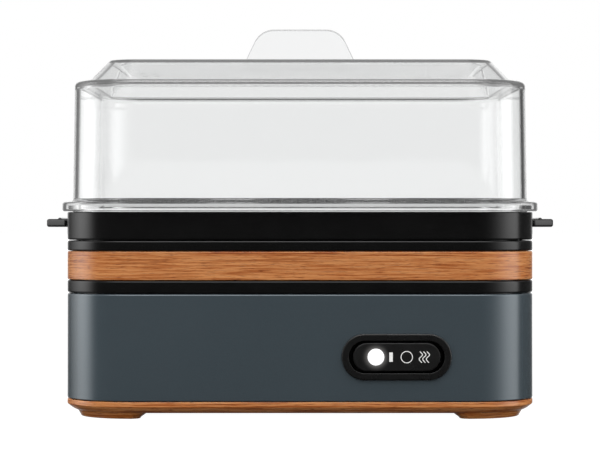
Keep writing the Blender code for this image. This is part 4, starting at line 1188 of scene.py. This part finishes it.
# How bright the studio's walls are to a reflection, by bearing from the front, in degrees
STUDIO_WALLS = (
    (-180, 0.42), (-162, 0.42), (-150, 0.03), (-140, 0.08),
    (-130, 0.2), (-120, 0.4), (-111, 0.66), (-104, 0.94),
    (-97, 1.0), (-89, 1.0), (-79, 0.56), (-72, 0.14),
    (-66, 0.03), (-40, 0.015), (27, 0.012), (34, 0.03),
    (41, 0.07), (48, 0.16), (55, 0.29), (63, 0.52),
    (71, 0.79), (79, 0.96), (90, 0.96), (97, 0.9),
    (101, 0.03), (150, 0.04), (162, 0.42), (180, 0.42),
)


def build_floor():
    """A pale floor that glows, but lights no diffuse surface and shows in no reflection."""
    mesh = bmesh.new()
    reach = 30
    add_box(mesh, (-reach, -reach, -0.01), (reach, reach, 0))
    floor = new_object("floor", mesh)
    finish = Finish("pale_floor", Specular_IOR_Level=0.0, Roughness=0.9, Emission_Color=(1, 1, 1, 1))
    finish.tint(finish.noise(cube(0.4), 2), (0.18, 0.18, 0.18, 1), (0.2, 0.2, 0.2, 1))
    ray = finish.nodes.new("ShaderNodeLightPath")
    glow = finish.spread(ray.outputs["Is Camera Ray"], FLOOR_GLOW_THROUGH, FLOOR_GLOW, 0, 1)
    dark = finish.spread(ray.outputs["Is Diffuse Ray"], 1.0, 0.0, 0, 1)
    finish.drive("Emission Strength", maths(finish.tree, "MULTIPLY", glow, dark))
    floor.data.materials.append(finish.material)
    floor.visible_glossy = False


def build_world():
    """White to the eye, a soft sky to diffuse light, and a studio of tall lights to reflections."""
    world = bpy.data.worlds.new("studio")
    bpy.context.scene.world = world
    world.use_nodes = True
    world.cycles.sampling_method = "NONE"
    tree = world.node_tree
    nodes, links = tree.nodes, tree.links

    def graded(source, stops):
        node = nodes.new("ShaderNodeValToRGB")
        fill_band(node.color_ramp, [(place, (value, value, value, 1)) for place, value in stops])
        links.new(source, node.inputs["Fac"])
        return node.outputs["Color"]

    def background(strength):
        node = nodes.new("ShaderNodeBackground")
        node.inputs["Color"].default_value = (1, 1, 1, 1)
        feed(tree, node.inputs["Strength"], strength)
        return node.outputs["Background"]

    def choose(ray, otherwise, chosen):
        node = nodes.new("ShaderNodeMixShader")
        links.new(path.outputs[ray], node.inputs["Fac"])
        links.new(otherwise, node.inputs[1])
        links.new(chosen, node.inputs[2])
        return node.outputs["Shader"]

    split = nodes.new("ShaderNodeSeparateXYZ")
    links.new(nodes.new("ShaderNodeTexCoord").outputs["Generated"], split.inputs["Vector"])
    path = nodes.new("ShaderNodeLightPath")
    forward = maths(tree, "MULTIPLY", split.outputs["Y"], -1.0)
    turn = maths(tree, "ARCTAN2", split.outputs["X"], forward)
    around = maths(tree, "MULTIPLY_ADD", turn, 1 / math.tau, 0.5)
    height = maths(tree, "MULTIPLY_ADD", split.outputs["Z"], 0.5, 0.5)

    def bearings(stops):
        return graded(around, [((degrees + 180) / 360, value) for degrees, value in stops])

    def heights(stops):
        return graded(height, [((1 + math.sin(math.radians(up))) / 2, value) for up, value in stops])

    behind = bearings(((-150, 1), (-140, 0), (140, 0), (150, 1)))
    above = heights(((22, 0), (27, 1)))
    wall_band = heights(((-26, 0.06), (-16, 0.5), (-4, 0.5), (0, 1), (33, 1), (38, 0)))
    walls = maths(tree, "MULTIPLY", bearings(STUDIO_WALLS), wall_band)
    hidden = maths(tree, "MULTIPLY", behind, above)
    walls = maths(tree, "MULTIPLY", walls, maths(tree, "SUBTRACT", 1.0, hidden))
    front = bearings(((-64, 0), (-56, 1), (56, 1), (64, 0)))
    front = maths(tree, "MULTIPLY", front, heights(((35, 0), (38, 1), (72, 1), (75, 0))))
    zenith = heights(((20, 0), (27, 0.14), (74, 0.14), (82, 0.5)))
    total = maths(tree, "ADD", maths(tree, "ADD", walls, front), zenith)
    studio = background(maths(tree, "MULTIPLY", total, STUDIO_LIGHT))
    sky = background(maths(tree, "MULTIPLY", heights(((-2, 0.17), (0, 0.5), (90, 1.0))), SKY_LIGHT))
    surface = choose("Is Camera Ray", choose("Is Diffuse Ray", studio, sky), background(1.0))
    links.new(surface, nodes["World Output"].inputs["Surface"])


def build_light():
    """One weak soft box overhead, which neither the camera nor a reflection sees."""
    data = bpy.data.lights.new("top_softbox", "AREA")
    data.shape = "RECTANGLE"
    data.size, data.size_y = SOFTBOX_SIZE
    data.energy = SOFTBOX_POWER
    light = bpy.data.objects.new("top_softbox", data)
    bpy.context.scene.collection.objects.link(light)
    light.location = SOFTBOX_PLACE
    light.rotation_euler = (SOFTBOX_AIM - SOFTBOX_PLACE).to_track_quat("-Z", "Y").to_euler()
    light.visible_camera = False
    light.visible_glossy = False


def build_camera():
    """A long lens, level, a little below half the cooker's height."""
    data = bpy.data.cameras.new("camera")
    data.lens = 138
    data.sensor_width = 36
    data.shift_y = 0.005
    camera = bpy.data.objects.new("camera", data)
    bpy.context.scene.collection.objects.link(camera)
    camera.location = (0, -(HALF_Y + CAMERA_DISTANCE), CAMERA_HEIGHT)
    camera.rotation_euler = (math.radians(90), 0, 0)
    bpy.context.scene.camera = camera
    bpy.context.scene.view_settings.view_transform = "Standard"


def build_everything():
    clear, black, wood = clear_plastic(), black_plastic(), oiled_wood()
    rubber = black_rubber()
    steel = bare_metal("zinc_steel", srgb(176, 178, 180), (4 * MM, 0.4 * MM, 4 * MM), 0.32)
    build_lid(clear)
    build_handle(clear)
    build_tray(black)
    build_collar(black)
    build_band("wood_band_ring", "wood_band", wood, 0.4 * MM)
    build_band("lower_black_ring", "lower_ring", black, 0.8 * MM)
    build_housing(slate_paint())
    build_base(wood)
    build_pads_and_screws(rubber, steel)
    build_dish(dark_coating())
    build_seal(grey_silicone())
    build_bezel(glossy_black())
    build_rocker(rocker_black(LENS_CENTRE, LENS_RADIUS))
    build_lens(white_light(LENS_CENTRE))
    build_signs(white_ink_painted_glow())
    build_gland(rubber)
    finish_inner_pieces(steel, black)
    build_floor()
    build_world()
    build_light()
    build_camera()


build_everything()
